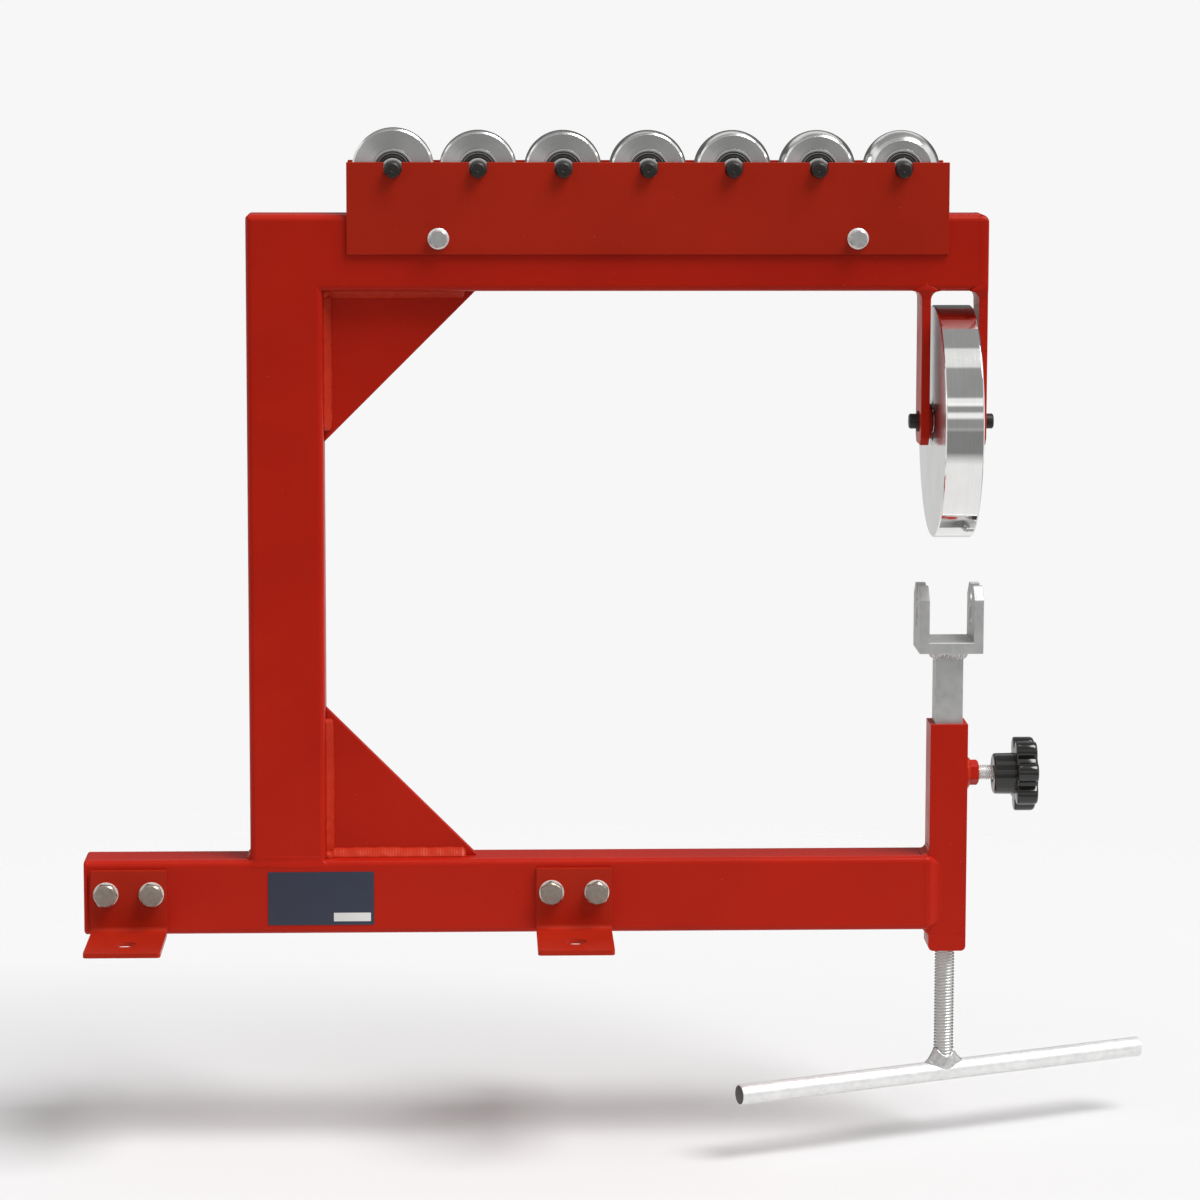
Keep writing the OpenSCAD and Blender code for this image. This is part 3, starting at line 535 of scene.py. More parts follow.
def bearing_ring(r_out, r_in, w, matrix):
    section = rounded([(r_in, 0), (r_out, 0), (r_out, w), (r_in, w)], 0.35 * MM, 2)
    return lathe("ring", section, matrix, 72)


def bearing_shell(od, w, matrix):
    """Outer ring and its two moulded seals with their clips. Materials: steel 0, rubber 1."""
    inner, outer = PIN_D / 2 + RING_T + 0.4 * MM, od / 2 - 1.9 * MM
    clip_r, clip_w = outer - 1.5 * MM, 0.45 * MM
    t, step, proud, slope = 1.0 * MM, 0.35 * MM, 0.1 * MM, 0.3 * MM
    lip = 1.3 * MM
    parts = [painted(bearing_ring(od / 2, od / 2 - RING_T + 0.9 * MM, w, matrix), 0)]
    for z, way in ((0.5 * MM, 1), (w - 0.5 * MM, -1)):
        section = [(inner, z), (inner + lip, z), (inner + lip + slope, z + way * step),
                   (outer - lip - slope, z + way * step), (outer - lip, z), (outer, z),
                   (outer, z + way * t), (inner, z + way * t)]
        clip = [(clip_r, z - way * proud), (clip_r + clip_w, z - way * proud),
                (clip_r + clip_w, z + way * t), (clip_r, z + way * t)]
        parts += [painted(lathe("seal", rounded(section, 0.12 * MM, 2), matrix, 72), 1),
                  painted(lathe("clip", clip, matrix, 72), 0)]
    return merged("shell", parts)


def bearing_pair(place, wheel_w, od, w, core_gap):
    """Shells and cores of the two bearings that are sunk into a wheel's faces."""
    ends = [place @ Matrix.Rotation(turn, 4, "X") @ Matrix.Translation((0, 0, -wheel_w / 2))
            for turn in (0, math.pi)]
    core_r = PIN_D / 2 + core_gap
    return [bearing_shell(od, w, at) for at in ends], [bearing_ring(PIN_D / 2 + RING_T, core_r, w, at)
                                                       for at in ends]


def pin(name, length, chamfer, matrix, sides, grooves=(), groove_w=0.0, groove_depth=0.0):
    """Pin centred on the matrix, with chamfered ends, a centre-drill dimple in each and ring grooves."""
    r, h = PIN_D / 2, length / 2
    dimple, deep = 0.10 * PIN_D, 0.09 * PIN_D
    lower = [(0, -h + deep), (dimple, -h), (r - chamfer, -h), (r, -h + chamfer)]
    end = rounded(lower, [0, 0, 0.25 * MM, 0], 3, closed=False)
    rings = []
    for start in grooves:
        rings += [(r, start), (r - groove_depth, start), (r - groove_depth, start + groove_w),
                  (r, start + groove_w)]
    return lathe(name, end + rings + [(p, -z) for p, z in reversed(end)], matrix, sides)


def thread_ridge(d, pitch, z0, z1, matrix, depth_ratio, sides=36):
    """Helical ridge along Z that fades out over half a turn at both ends."""
    depth = depth_ratio * pitch
    core = d / 2 - depth
    steps = int((z1 - z0 - pitch) / pitch * sides)
    profile = [(-0.49, -0.04), (-0.15, 0.84), (-0.06, 1.0), (0.06, 1.0), (0.15, 0.84), (0.49, -0.04)]
    rows = []
    for s in range(steps + 1):
        a, z = TURN * s / sides, z0 + pitch / 2 + pitch * s / sides
        fade = min(1.0, 2 * s / sides, 2 * (steps - s) / sides)
        rows.append([(*polar(core + depth * (out * fade if out > 0 else out), a), z + step * pitch)
                     for step, out in profile])
    return skin("ridge", rows, matrix)


def hexagon_reach(angle, af):
    """Distance from the middle to a hexagon's side at an angle."""
    return af / 2 / math.cos((angle + math.pi / 6) % (math.pi / 3) - math.pi / 6)


def hexagon(name, af, h, matrix, turn=0.0, both_ends=False, bore=0.0):
    """Hexagon head or nut from z 0 to h, its corners turned down to a cone at the top or at both ends."""
    sides = 60
    flat_r, slope, soft = af / 2 * 0.95, math.tan(math.radians(30)), 0.30 * MM
    angles = [TURN * (k + 0.5) / sides for k in range(sides)]
    reach = [hexagon_reach(a, af) for a in angles]
    cut = [max(0.0, (q - flat_r) * slope) for q in reach]
    if both_ends:
        rows = [(flat_r, 0.0), [(q, c + soft) for q, c in zip(reach, cut)]]
    else:
        rows = [[(q - soft, 0.0) for q in reach], [(q, soft) for q in reach]]
    rows += [[(q, h - c - soft) for q, c in zip(reach, cut)], (flat_r, h)]
    if bore:
        inner, lead = bore / 2, 0.6 * MM
        rows += [(inner + lead, h), (inner, h - lead), (inner, lead), (inner + lead, 0.0)]
    return skin(name, spun(rows, [a + turn for a in angles]), matrix, "joined" if bore else "capped")


# Weld beads

def lump(seed):
    """Smooth repeatable unevenness of a bead along its length, from -1 to 1."""
    rng = np.random.default_rng(seed)
    waves = [(rng.uniform(60, 620), rng.uniform(0, TURN), rng.uniform(0.3, 1.0)) for _ in range(7)]
    total = sum(w for _, _, w in waves)
    return lambda s: sum(w * math.sin(f * s + p) for f, p, w in waves) / total


def bead(start, end, side_a, side_b, leg, seed, bulge=0.25, ripple=0.05, rough=0.10, pitch=2.2 * MM, arc=8,
         concave=False):
    """Fillet bead from start to end in the corner between directions side_a and side_b.

    Its face bulges out, or curves in when concave, and carries crescent ripples and slow lumps."""
    start, end = Vector(start), Vector(end)
    side_a, side_b = Vector(side_a), Vector(side_b)
    length = (end - start).length
    way = (end - start) / length
    steps = max(8, int(length / (0.45 * MM)))
    slow_a, slow_b, slow_c = lump(seed), lump(seed + 50), lump(seed + 99)
    sink = 0.4 * MM
    rows = []
    for i in range(steps + 1):
        s = length * i / steps
        near_end = max(0.0, min(s, length - s))
        grow = math.sqrt(1 - max(0.0, 1 - near_end / (leg * 0.55)) ** 2)
        a_leg = leg * (1 + rough * slow_a(s)) * (0.35 + 0.65 * grow)
        b_leg = leg * (1 + rough * slow_b(s)) * (0.35 + 0.65 * grow)
        row = []
        for t in [k / arc for k in range(arc + 1)]:
            crest = 1 - (2 * t - 1) ** 2
            wave = math.sin(TURN * (s + 0.55 * pitch * crest) / pitch)
            if concave:
                u, v = 1 - math.sin(t * RIGHT_ANGLE), 1 - math.cos(t * RIGHT_ANGLE)
                lift = 1 + ripple * wave * crest
                offset = side_a * (a_leg * u * lift) + side_b * (b_leg * v * lift)
            else:
                out = bulge * crest + ripple * wave * crest + rough * 0.5 * slow_c(s + t * leg) * crest
                offset = side_a * (a_leg * (1 - t) * (1 + out)) + side_b * (b_leg * t * (1 + out))
                offset += (side_a + side_b) * (leg * 0.18 * (bulge + out) * crest)
            row.append(start + way * s + offset)
        rows.append(row + [start + way * s - (side_a + side_b) * sink])
    return skin("bead", rows)


def collar(name, rows, sides, matrix, seed, rough):
    """Lumpy closed collar through rows of functions angle -> point. The first and last rows are even."""
    rng = np.random.default_rng(seed)
    waves = [(int(rng.integers(2, 13)), rng.uniform(0, TURN), rng.uniform(-4, 4)) for _ in range(8)]

    def place(i, a):
        uneven = sum(math.sin(n * a + phase + twist * i) for n, phase, twist in waves) / len(waves)
        out = Vector((math.cos(a), math.sin(a), 0.5)) * (rough * uneven)
        return Vector(rows[i](a)) + (out if 0 < i < len(rows) - 1 else Vector())

    angles = [TURN * k / sides for k in range(sides)]
    return skin(name, [[place(i, a) for a in angles] for i in range(len(rows))], matrix, "joined")


def round_row(r, z):
    return lambda a: (*polar(r, a), z)


# Ground welds, which stand proud of what they cover by a hair

PROUD = 0.05 * MM
FILLET_R = 7.5 * MM
BLEND_DOWN = 12 * MM
BLEND_UP = 6 * MM


def ease(t):
    """Smooth step from 0 to 1."""
    t = max(0.0, min(1.0, t))
    return t * t * (3 - 2 * t)


def drawn_in(r, past):
    """How far a rounded edge has drawn in at a distance past the start of its rounding."""
    return r - math.sqrt(max(0.0, r ** 2 - max(0.0, past) ** 2))


def weld_steps(count, hidden):
    """Steps along a ground weld: share of the way, over-run, and how far the ring is sunk.

    One more ring at each end closes the weld under the surface."""
    return [(0.0, -PROUD, hidden), *[(k / count, 0.0, 0.0) for k in range(count + 1)], (1.0, PROUD, hidden)]


def fillet_reach(z, arm_z0):
    """How far an ear's fillet reaches along the arm at a height."""
    if z > arm_z0:
        return FILLET_R * (1 - ease((z - arm_z0) / BLEND_UP))
    return drawn_in(FILLET_R, z - arm_z0 + FILLET_R)


def blend_half(z, arm_z0):
    """Half width of an ear's blend at a height, from the ear's face out to the arm's."""
    ear_face, arm_face = high("fork_ear_inner").y, high("upper_arm").y
    return ear_face + (arm_face - ear_face) * ease((z - arm_z0 + 8 * MM) / (12 * MM)) + PROUD


def inner_ear_blend():
    x0, x1, arm_z0 = low("fork_ear_inner").x, high("fork_ear_inner").x, low("upper_arm").z
    rings = []
    for t, over, sunk in weld_steps(30, 0.3 * MM):
        z = arm_z0 - BLEND_DOWN + (BLEND_DOWN + BLEND_UP) * t + over
        out, half = fillet_reach(z, arm_z0) + PROUD - sunk, blend_half(z, arm_z0) - sunk
        corner_r = 0.8 * MM + 2.6 * MM * ease((z - arm_z0 + 8 * MM) / (8 * MM))
        rings.append([(a, b, z) for a, b in soft_rect(x0 - out, x1 + out, -half, half, corner_r)])
    return skin("blend", rings)


def outer_ear_blend():
    """Goes on up over the arm's end, whose top corner is round."""
    arm_x1, x1 = low("fork_ear_outer").x, high("fork_ear_outer").x
    arm_z0, arm_z1 = low("upper_arm").z, high("upper_arm").z
    round_z = arm_z1 - ARM_END_R
    heights = [arm_z0 - BLEND_DOWN + 0.6 * MM * k for k in range(31)]
    heights += [round_z - (round_z - heights[-1]) * (1 - k / 4) for k in range(1, 5)]
    heights += [round_z + ARM_END_R * math.sin(RIGHT_ANGLE * k / 10) for k in range(1, 11)]
    corner_r = [0.1 * MM, 1.8 * MM, 1.8 * MM, 0.1 * MM]
    rings = []
    for k, z in enumerate([heights[0] - PROUD, *heights]):
        sunk = 0.3 * MM if k == 0 else 0.0
        lead = fillet_reach(z, arm_z0)
        left = arm_x1 - (lead + PROUD if z < arm_z0 else max(1.5 * MM, lead)) + sunk
        right = x1 - drawn_in(ARM_END_R, z - round_z) + PROUD - sunk
        half = blend_half(z, arm_z0) - drawn_in(TUBE_R, z - arm_z1 + TUBE_R) - sunk
        top = PROUD if k == len(heights) else 0.0
        rings.append([(a, b, z + top) for a, b in soft_rect(left, right, -half, half, corner_r)])
    return skin("blend", rings)


def socket_blends():
    """Lead the beam's wider end onto the socket's sides, within its walls and clear of its bore."""
    end_x, socket_y = low("stem_socket").x, high("stem_socket").y
    beam_y, beam_z1 = high("lower_beam").y, high("lower_beam").z
    in_wall = socket_y - 2 * MM
    start, length = end_x - 4 * MM, 14 * MM
    outlines = []
    for t, over, sunk in weld_steps(24, 0.4 * MM):
        at_x = start + length * t + over
        going = ease((at_x - end_x + 2 * MM) / (11 * MM))
        half = beam_y + (socket_y - beam_y) * going + PROUD - sunk
        inset = 3 * MM * going + sunk
        z0, z1 = 0.1 * MM + inset, beam_z1 - inset + PROUD
        first = math.asin(max(0.0, (in_wall - half + TUBE_R) / TUBE_R))
        sweep = [first + (RIGHT_ANGLE - first) * i / 6 for i in range(7)]
        arc = [(half - TUBE_R * (1 - math.sin(a)), TUBE_R * (1 - math.cos(a))) for a in sweep]
        arc.insert(0, (in_wall, arc[0][1]))
        outlines.append([(at_x, a, z0 + b) for a, b in arc] + [(at_x, a, z1 - b) for a, b in reversed(arc)])
    return [skin("blend", [[(a, side * b, c) for a, b, c in ring] for ring in outlines]) for side in (-1, 1)]


def post_foot_blend():
    """Carries the post's faces down over the beam's rounded edges."""
    x0, x1, face, top = low("post").x, high("post").x, high("post").y, high("lower_beam").z
    start, length = top + 3 * MM, 9.5 * MM
    rings = []
    for t, over, sunk in weld_steps(18, 0.4 * MM):
        z = start - length * t - over
        flare = ease((top + 0.5 * MM - z) / (6 * MM))
        half, out = face + PROUD - sunk, 3 * MM * flare + PROUD - sunk
        corner_r = TUBE_R - 3.5 * MM * flare
        rings.append([(a, b, z) for a, b in soft_rect(x0 - out, x1 + out, -half, half, corner_r)])
    return skin("blend", rings)


def lock_nut_weld():
    at = middle("lock_nut")
    nut_r = size("lock_nut").y / 2
    at.x = low("lock_nut").x
    # Reach as a share of the nut's, and height in mm
    profile = [(0.80, -0.2), (1.34, -0.2), (1.30, 0.9), (1.18, 2.1), (1.04, 3.2), (0.86, 3.9), (0.80, 2.0)]
    rows = [round_row(nut_r * share, height * MM) for share, height in profile]
    return collar("nut_weld", rows, 96, along(0, at), 7, 0.8 * MM)


def frame_welds():
    """Beads, and the ground welds that lead one part into the next. Materials: ground 0, beads 1, whose
    lighter red is a painted highlight.
    """
    x, z = Vector((1, 0, 0)), Vector((0, 0, 1))
    post_x0, post_x1 = low("post").x, high("post").x
    beam_z1, arm_z0 = high("lower_beam").z, low("upper_arm").z
    flat = high("lower_beam").y - TUBE_R
    g, j = GUSSET_BEAD, JOINT_BEAD
    calm = {"bulge": 0.04, "ripple": 0.010, "rough": 0.09}
    inset, reach = 0.4 * g, high("upper_gusset").x - post_x1 - 1.3 * g
    beads = []
    for corner_z, up, seed in ((beam_z1, z, 10), (arm_z0, -z, 20)):
        for side in (-1, 1):
            out_y = (0, side, 0)
            at = Vector((post_x1, side * GUSSET_T / 2, corner_z))
            beads += [bead(at + x * inset, at + x * reach, out_y, up, g, seed + side, **calm),
                      bead(at + up * inset, at + up * reach, out_y, x, g, seed + 5 + side, **calm),
                      bead(at, (post_x1, side * flat, corner_z), x, up, j * 1.1, seed + 8 + side,
                           ripple=0.03, rough=0.15)]
    beads.append(bead((post_x0, -flat, beam_z1), (post_x0, flat, beam_z1), -x, z, 0.7 * j, 31, **calm))
    # Beam on the socket, above and below
    end_x, wide = low("stem_socket").x, high("stem_socket").y - 0.5 * MM
    beads.append(bead((end_x, -wide, beam_z1), (end_x, wide, beam_z1), -x, z, j * 1.3, 41, ripple=0.03,
                      concave=True))
    beads.append(bead((end_x, -wide, 0), (end_x, wide, 0), -x, -z, j, 42, **calm))
    ground = [*socket_blends(), inner_ear_blend(), outer_ear_blend(), post_foot_blend()]
    parts = [painted(mesh, 0) for mesh in ground] + [painted(mesh, 1) for mesh in [*beads, lock_nut_weld()]]
    group("frame_weld_beads", parts, [RED, BEAD_RED_PAINTED_HIGHLIGHT], "frame_welds", ANY_ANGLE)


# Bolts and nuts

# Threads as diameter and pitch, turns in degrees
M8 = (8 * MM, 1.25 * MM)
M10 = (10 * MM, 1.5 * MM)
FOOT_BOLT_SPACING = 36 * MM
FOOT_BOLT_TURNS = [26.0, 20.0, 4.0, -7.0]
FOOT_NUT_AHEAD = 17
RACK_BOLT_TURNS = [12.0, 28.0]
RACK_NUT_AHEAD = 9
LOCK_NUT_TURN = 20.0


def lock_nut():
    at = middle("lock_nut")
    at.x = low("lock_nut").x
    af, bore, turn = 18 * MM, 11 * MM, math.radians(LOCK_NUT_TURN)
    mesh = hexagon("lock_nut_look", af, size("lock_nut").x, along(0, at), turn, bore=bore)
    piece("lock_nut_look", mesh, [RED], "lock_nut", HEXAGON_ANGLE)


def shank(head_y, nut_y, end, core, tip, at, sides, thread, depth_ratio):
    """Bolt's shank from under its head, with its thread from just before the nut to its tip."""
    section = [(0, head_y), (core, head_y), (core, end - tip), (core - tip, end), (0, end)]
    return [lathe("shank", section, at, sides),
            thread_ridge(*thread, nut_y - 3 * MM, end - 0.4 * MM, at, depth_ratio)]


def foot_bolts():
    af, z, end = size("foot_bolts").z, middle("foot_bolts").z, high("foot_bolts").y
    washer_y, nut_y, washer_end = low("foot_washers").y, low("foot_nuts").y, high("foot_washers").y
    head_h, nut_h = washer_y - low("foot_bolts").y, size("foot_nuts").y
    t, r_in, r_out = 2 * MM, 5.3 * MM, 9.9 * MM
    core, tip, bore = 4.2 * MM, 1 * MM, 9 * MM
    ring = rounded([(r_in, 0), (r_out, 0), (r_out, t), (r_in, t)], 0.3 * MM, 2)
    feet = [middle(foot).x for foot in ("foot_front_left", "foot_front_right")]
    places = [x + side * FOOT_BOLT_SPACING / 2 for x in feet for side in (-1, 1)]
    bolts, nuts, washers = [], [], []
    for x, turn in zip(places, FOOT_BOLT_TURNS):
        bolts += [hexagon("head", af, head_h, facing_front((x, washer_y, z)), math.radians(turn)),
                  *shank(washer_y, nut_y, end, core, tip, along(1, (x, 0, z)), 40, M10, 0.55)]
        nut_turn = math.radians(turn + FOOT_NUT_AHEAD)
        nuts.append(hexagon("nut", af, nut_h, along(1, (x, nut_y, z)), nut_turn, True, bore))
        washers += [lathe("washer", ring, along(1, (x, y, z)), 64) for y in (washer_y, washer_end - t)]
    group("foot_bolts_look", bolts, [STAINLESS], "foot_bolts", HEXAGON_ANGLE)
    group("foot_nuts_look", nuts, [STAINLESS], "foot_nuts", HEXAGON_ANGLE)
    group("foot_washers_look", washers, [WASHER_STEEL], "foot_washers")


def rack_bolts():
    box_low, box_high, z = low("rack_bolts"), high("rack_bolts"), middle("rack_bolts").z
    plate_y, nut_y = low("rack_plate_front").y, low("rack_nuts").y
    af, flange_t, flange_r = 13 * MM, 1.7 * MM, size("rack_bolts").z / 2
    flange = rounded([(0, 0), (flange_r, 0), (flange_r, 0.8 * MM), (af * 0.56, flange_t), (0, flange_t)],
                     [0, 0.3 * MM, 0.3 * MM, 0.6 * MM, 0], 3, closed=False)
    core, tip, bore, flange_bore_r = 3.35 * MM, 0.8 * MM, 7.2 * MM, 4.3 * MM
    nut_flange = [(flange_bore_r, 0), *flange[1:-1], (flange_bore_r, flange_t)]
    bolts, nuts = [], []
    for x, turn in zip((box_low.x + flange_r, box_high.x - flange_r), RACK_BOLT_TURNS):
        front, back = facing_front((x, plate_y, z)), along(1, (x, nut_y, z))
        bolts += [lathe("flange", flange, front, 64),
                  painted(hexagon("head", af, plate_y - box_low.y, front, math.radians(turn)), 1),
                  *shank(plate_y, nut_y, box_high.y, core, tip, along(1, (x, 0, z)), 36, M8, 0.5)]
        nut_turn = math.radians(turn + RACK_NUT_AHEAD)
        nuts += [lathe("nut_flange", nut_flange, back, 64),
                 hexagon("nut", af, size("rack_nuts").y, back, nut_turn, True, bore)]
    group("rack_bolts_look", bolts, [BRIGHT_ZINC, ZINC_FACE], "rack_bolts", HEXAGON_ANGLE)
    group("rack_nuts_look", nuts, [BRIGHT_ZINC], "rack_nuts", HEXAGON_ANGLE)


# Upper wheel

def upper_wheel():
    centre = middle("upper_wheel")
    r, width = size("upper_wheel").z / 2, size("upper_wheel").x
    h, c, land = width / 2, 1 * MM, 6 * MM
    place = along(0, centre)
    corners = [(r - land, -h), (r - c, -h), (r, -h + c), (r, h - c), (r - c, h), (r - land, h)]
    rim = rounded(corners, 0.5 * MM, 3, closed=False)
    mesh = pocketed_wheel("polished_wheel", rim, width, WHEEL_BEARING_OD, WHEEL_BEARING_W, place, 256)
    mark_sides(mesh, Vector((1, 0, 0)), 1)
    rim_steel = turned_steel("polished_rim", centre, 0, (0.82, 0.82, 0.81), 0.055, 0.0012 * MM)
    side_steel = turned_steel("polished_side", centre, 0, (0.80, 0.80, 0.79), 0.20, 0.004 * MM, 0.35)
    piece("polished_wheel", mesh, [rim_steel, side_steel], "upper_wheel", WHEEL_ANGLE, True)
    shells, cores = bearing_pair(place, width, WHEEL_BEARING_OD, WHEEL_BEARING_W, 0.02 * MM)
    ring_steel = turned_steel("wheel_bearing_steel", centre, 0, (0.72, 0.72, 0.71), 0.18, 0.002 * MM)
    group("wheel_bearing_shells_look", shells, [ring_steel, RUBBER], "wheel_bearing_shells")
    group("wheel_bearing_cores_look", cores, [ring_steel], "wheel_bearing_cores")


def circlip_outline():
    """Open ring whose gap is at the bottom, with a wider lug and a hole at each end."""
    gap, steps = math.radians(27), 56
    outer_r, inner_r, lug, lug_share = 8.1 * MM, 5.8 * MM, 0.35 * MM, 0.07
    hole_r, hole_out = 0.65 * MM, 7.0 * MM
    outer, inner = [], []
    for k in range(steps + 1):
        a = -RIGHT_ANGLE + gap / 2 + (TURN - gap) * k / steps
        r = outer_r + lug * (1 - min(1.0, min(k, steps - k) / steps / lug_share))
        outer.append(polar(r, a))
        inner.append(polar(inner_r, a))
    lugs = [polar(hole_out, -RIGHT_ANGLE + way * gap * 0.72) for way in (1, -1)]
    return outer + inner[::-1], [circle(x, y, hole_r, 16) for x, y in lugs]


def axle_and_circlips():
    centre = middle("upper_axle")
    clip_x = high("axle_circlips").x - centre.x
    black = blackened_steel("axle_black", centre, 0)
    mesh = pin("axle_look", size("upper_axle").x, 1.0 * MM, along(0, centre), 72, (-clip_x, clip_x - CLIP_T),
               CLIP_T + 0.05 * MM, 0.25 * MM)
    piece("axle_look", mesh, [black], "upper_axle")
    outline, holes = circlip_outline()
    turn = Matrix.Rotation(RIGHT_ANGLE, 4, "Z") @ Matrix.Rotation(RIGHT_ANGLE, 4, "X")
    places = [centre + Vector((side * (clip_x - CLIP_T / 2), 0, 0)) for side in (-1, 1)]
    clips = [slab("clip", outline, holes, CLIP_T, 0.15 * MM, Matrix.Translation(at) @ turn) for at in places]
    group("circlips_look", clips, [black], "axle_circlips")


# Yoke, screw and lock

def yoke_weld():
    corner = middle("stem")
    corner.z = low("yoke").z
    half, leg = size("stem").x / 2, 6.5 * MM
    beads = []
    for k in range(4):
        turn = Matrix.Rotation(k * RIGHT_ANGLE, 3, "Z")
        out = turn @ Vector((0, -1, 0))
        way = turn @ Vector((1, 0, 0)) * (half + 0.25 * leg)
        at = corner + out * half
        beads.append(bead(at - way, at + way, out * 0.62, (0, 0, -1), leg, 70 + k, bulge=0.12, ripple=0.14,
                          rough=0.36, pitch=3.0 * MM, arc=12))
    group("yoke_weld_look", beads, [WELD_ZINC], "yoke_weld", ANY_ANGLE)


def lift_screw():
    centre, bottom, top = middle("lift_screw"), low("lift_screw").z, high("lift_screw").z
    d, shoulder, depth_ratio = size("lift_screw").x, top - JOURNAL_LEN, 0.55
    core_r, tip = d / 2 - depth_ratio * SCREW_PITCH, 1 * MM
    at = Matrix.Translation((centre.x, centre.y, 0))
    section = [(0, bottom), (core_r, bottom), (core_r, shoulder - tip), (core_r - 0.4 * MM, shoulder),
               (JOURNAL_R, shoulder), (JOURNAL_R, top - tip), (JOURNAL_R - tip, top), (0, top)]
    parts = [lathe("core", section, at, 64),
             thread_ridge(d, SCREW_PITCH, bottom + 10 * MM, shoulder, at, depth_ratio)]
    group("lift_screw_look", parts, [SCREW_ZINC], "lift_screw", THREAD_ANGLE)


def tee_bar():
    r, half, rows = TEE_D / 2, TEE_LEN / 2, 24
    turn = Matrix.Translation(middle("tee_bar")) @ Matrix.Rotation(TEE_ANGLE, 4, "Z")
    end = rounded([(0, -half), (r, -half), (r, -half + 4 * MM)], 0.9 * MM, 4, closed=False)
    barrel = [(r, -half + TEE_LEN * k / rows) for k in range(1, rows)]
    mesh = lathe("tee_bar_look", end + barrel + [(p, -z) for p, z in reversed(end)],
                 turn @ Matrix.Rotation(RIGHT_ANGLE, 4, "Y"), 64)
    mark_sides(mesh, Vector((math.cos(TEE_ANGLE), math.sin(TEE_ANGLE), 0)), 1, 0.9)
    piece("tee_bar_look", mesh, [GALVANISED, SAWN_STEEL], "tee_bar")


def tee_weld():
    """Saddle of weld between the screw and the bar, longer along the bar than across it."""
    r, screw_r = TEE_D / 2, size("lift_screw").x / 2
    reach, rise = 17 * MM, 12 * MM
    width = min(screw_r, r * 0.985) * 0.98

    def on_bar(a):
        x = (screw_r + (reach - screw_r) * abs(math.cos(a)) ** 0.8) * math.cos(a)
        y = width * math.sin(a)
        return x, y, math.sqrt(max(0.0, (r * 0.99) ** 2 - y * y))

    def row(u):
        """Row at a share u of the way from the screw down to the bar."""
        def point(a):
            x, y, z = on_bar(a)
            top_x, top_y = polar(screw_r * 0.99, a)
            top_z = r + rise * (0.45 + 0.55 * math.cos(a) ** 2)
            sag = 0.20 * math.sin(math.pi * u)
            return (top_x + (x - top_x) * (u - sag * 0.5), top_y + (y - top_y) * u,
                    top_z + (z - top_z) * (u + sag * 0.3))
        return point

    first = 0.12
    rows = [round_row(0.6 * screw_r, r + rise * 0.5)]
    rows += [row((t - first) / (1 - first)) for t in (first, 0.25, 0.38, 0.50, 0.62, 0.74, 0.86, 1.0)]
    rows.append(round_row(0.5 * screw_r, 0.0))
    place = Matrix.Translation(middle("tee_bar")) @ Matrix.Rotation(TEE_ANGLE, 4, "Z")
    mesh = collar("tee_weld_look", rows, 120, place, 11, 0.7 * MM)
    piece("tee_weld_look", mesh, [WELD_ZINC], "tee_weld", ANY_ANGLE)


def lock_stud():
    stud, x0, x1 = middle("lock_stud"), low("lock_stud").x, high("lock_stud").x
    d, depth_ratio, tip = size("lock_stud").z, 0.58, 0.8 * MM
    r = d / 2 - depth_ratio * STUD_PITCH
    at = along(0, (0, stud.y, stud.z))
    parts = [lathe("core", [(0, x0), (r - tip, x0), (r, x0 + tip), (r, x1), (0, x1)], at, 48),
             thread_ridge(d, STUD_PITCH, x0 + 0.5 * MM, x1, at, depth_ratio, 40)]
    group("lock_stud_look", parts, [BRIGHT_ZINC], "lock_stud", THREAD_ANGLE)


def lock_knob():
    """Star knob: a round boss and a head with seven pads, all edges moulded soft."""
    knob, x0, full = middle("lock_knob"), low("lock_knob").x, size("lock_knob").x
    lobes, head_t, boss_r, stud_r = 7, 17 * MM, 16.5 * MM, 6.06 * MM
    tip_r, lobe_r, valley, soft = 30 * MM, 7.95 * MM, 21.8 * MM, 1.6 * MM
    cup_r, cup_deep = 8.5 * MM, 1.2 * MM
    head_x = full - head_t

    def outline(a):
        away = (a + math.pi / lobes) % (TURN / lobes) - math.pi / lobes
        d = tip_r - lobe_r
        inside = lobe_r ** 2 - (d * math.sin(away)) ** 2
        pad = d * math.cos(away) + math.sqrt(inside) if inside > 0 else 0.0
        mix = max(0.0, min(1.0, 0.5 + 0.5 * (pad - valley) / soft))
        return valley + (pad - valley) * mix + soft * 0.5 * mix * (1 - mix)

    sides = lobes * 28
    angles = [TURN * k / sides for k in range(sides)]
    stud_end = high("lock_stud").x - x0 + 0.05 * MM
    boss = [(stud_r, 0.8 * MM), (stud_r + 0.8 * MM, 0), (boss_r - 0.3 * MM, 0), (boss_r, head_x + 2 * MM)]
    boss = rounded(boss, [0, 0, 2.0 * MM, 0], 5, closed=False)[:-1]
    # Share of the outline's reach, and height
    head = [(0.955, head_x), (0.985, head_x + 0.35 * MM), (1.0, head_x + 1.3 * MM), (1.0, full - 3.6 * MM),
            (0.992, full - 2.2 * MM), (0.968, full - 1.1 * MM), (0.93, full - 0.45 * MM),
            (0.86, full - 0.1 * MM)]
    rows = [(0.0, stud_end), (stud_r, stud_end), *boss, (boss_r, head_x)]
    rows += [[(outline(a) * share, z) for a in angles] for share, z in head]
    rows += [(20 * MM, full), (cup_r + 0.6 * MM, full), (cup_r, full - 0.5 * MM),
             (cup_r - 0.5 * MM, full - cup_deep), (0.0, full - cup_deep)]
    mesh = skin("lock_knob_look", spun(rows, angles), along(0, (x0, knob.y, knob.z)), "on axis")
    piece("lock_knob_look", mesh, [BLACK_PLASTIC], "lock_knob", KNOB_ANGLE)


# Anvils

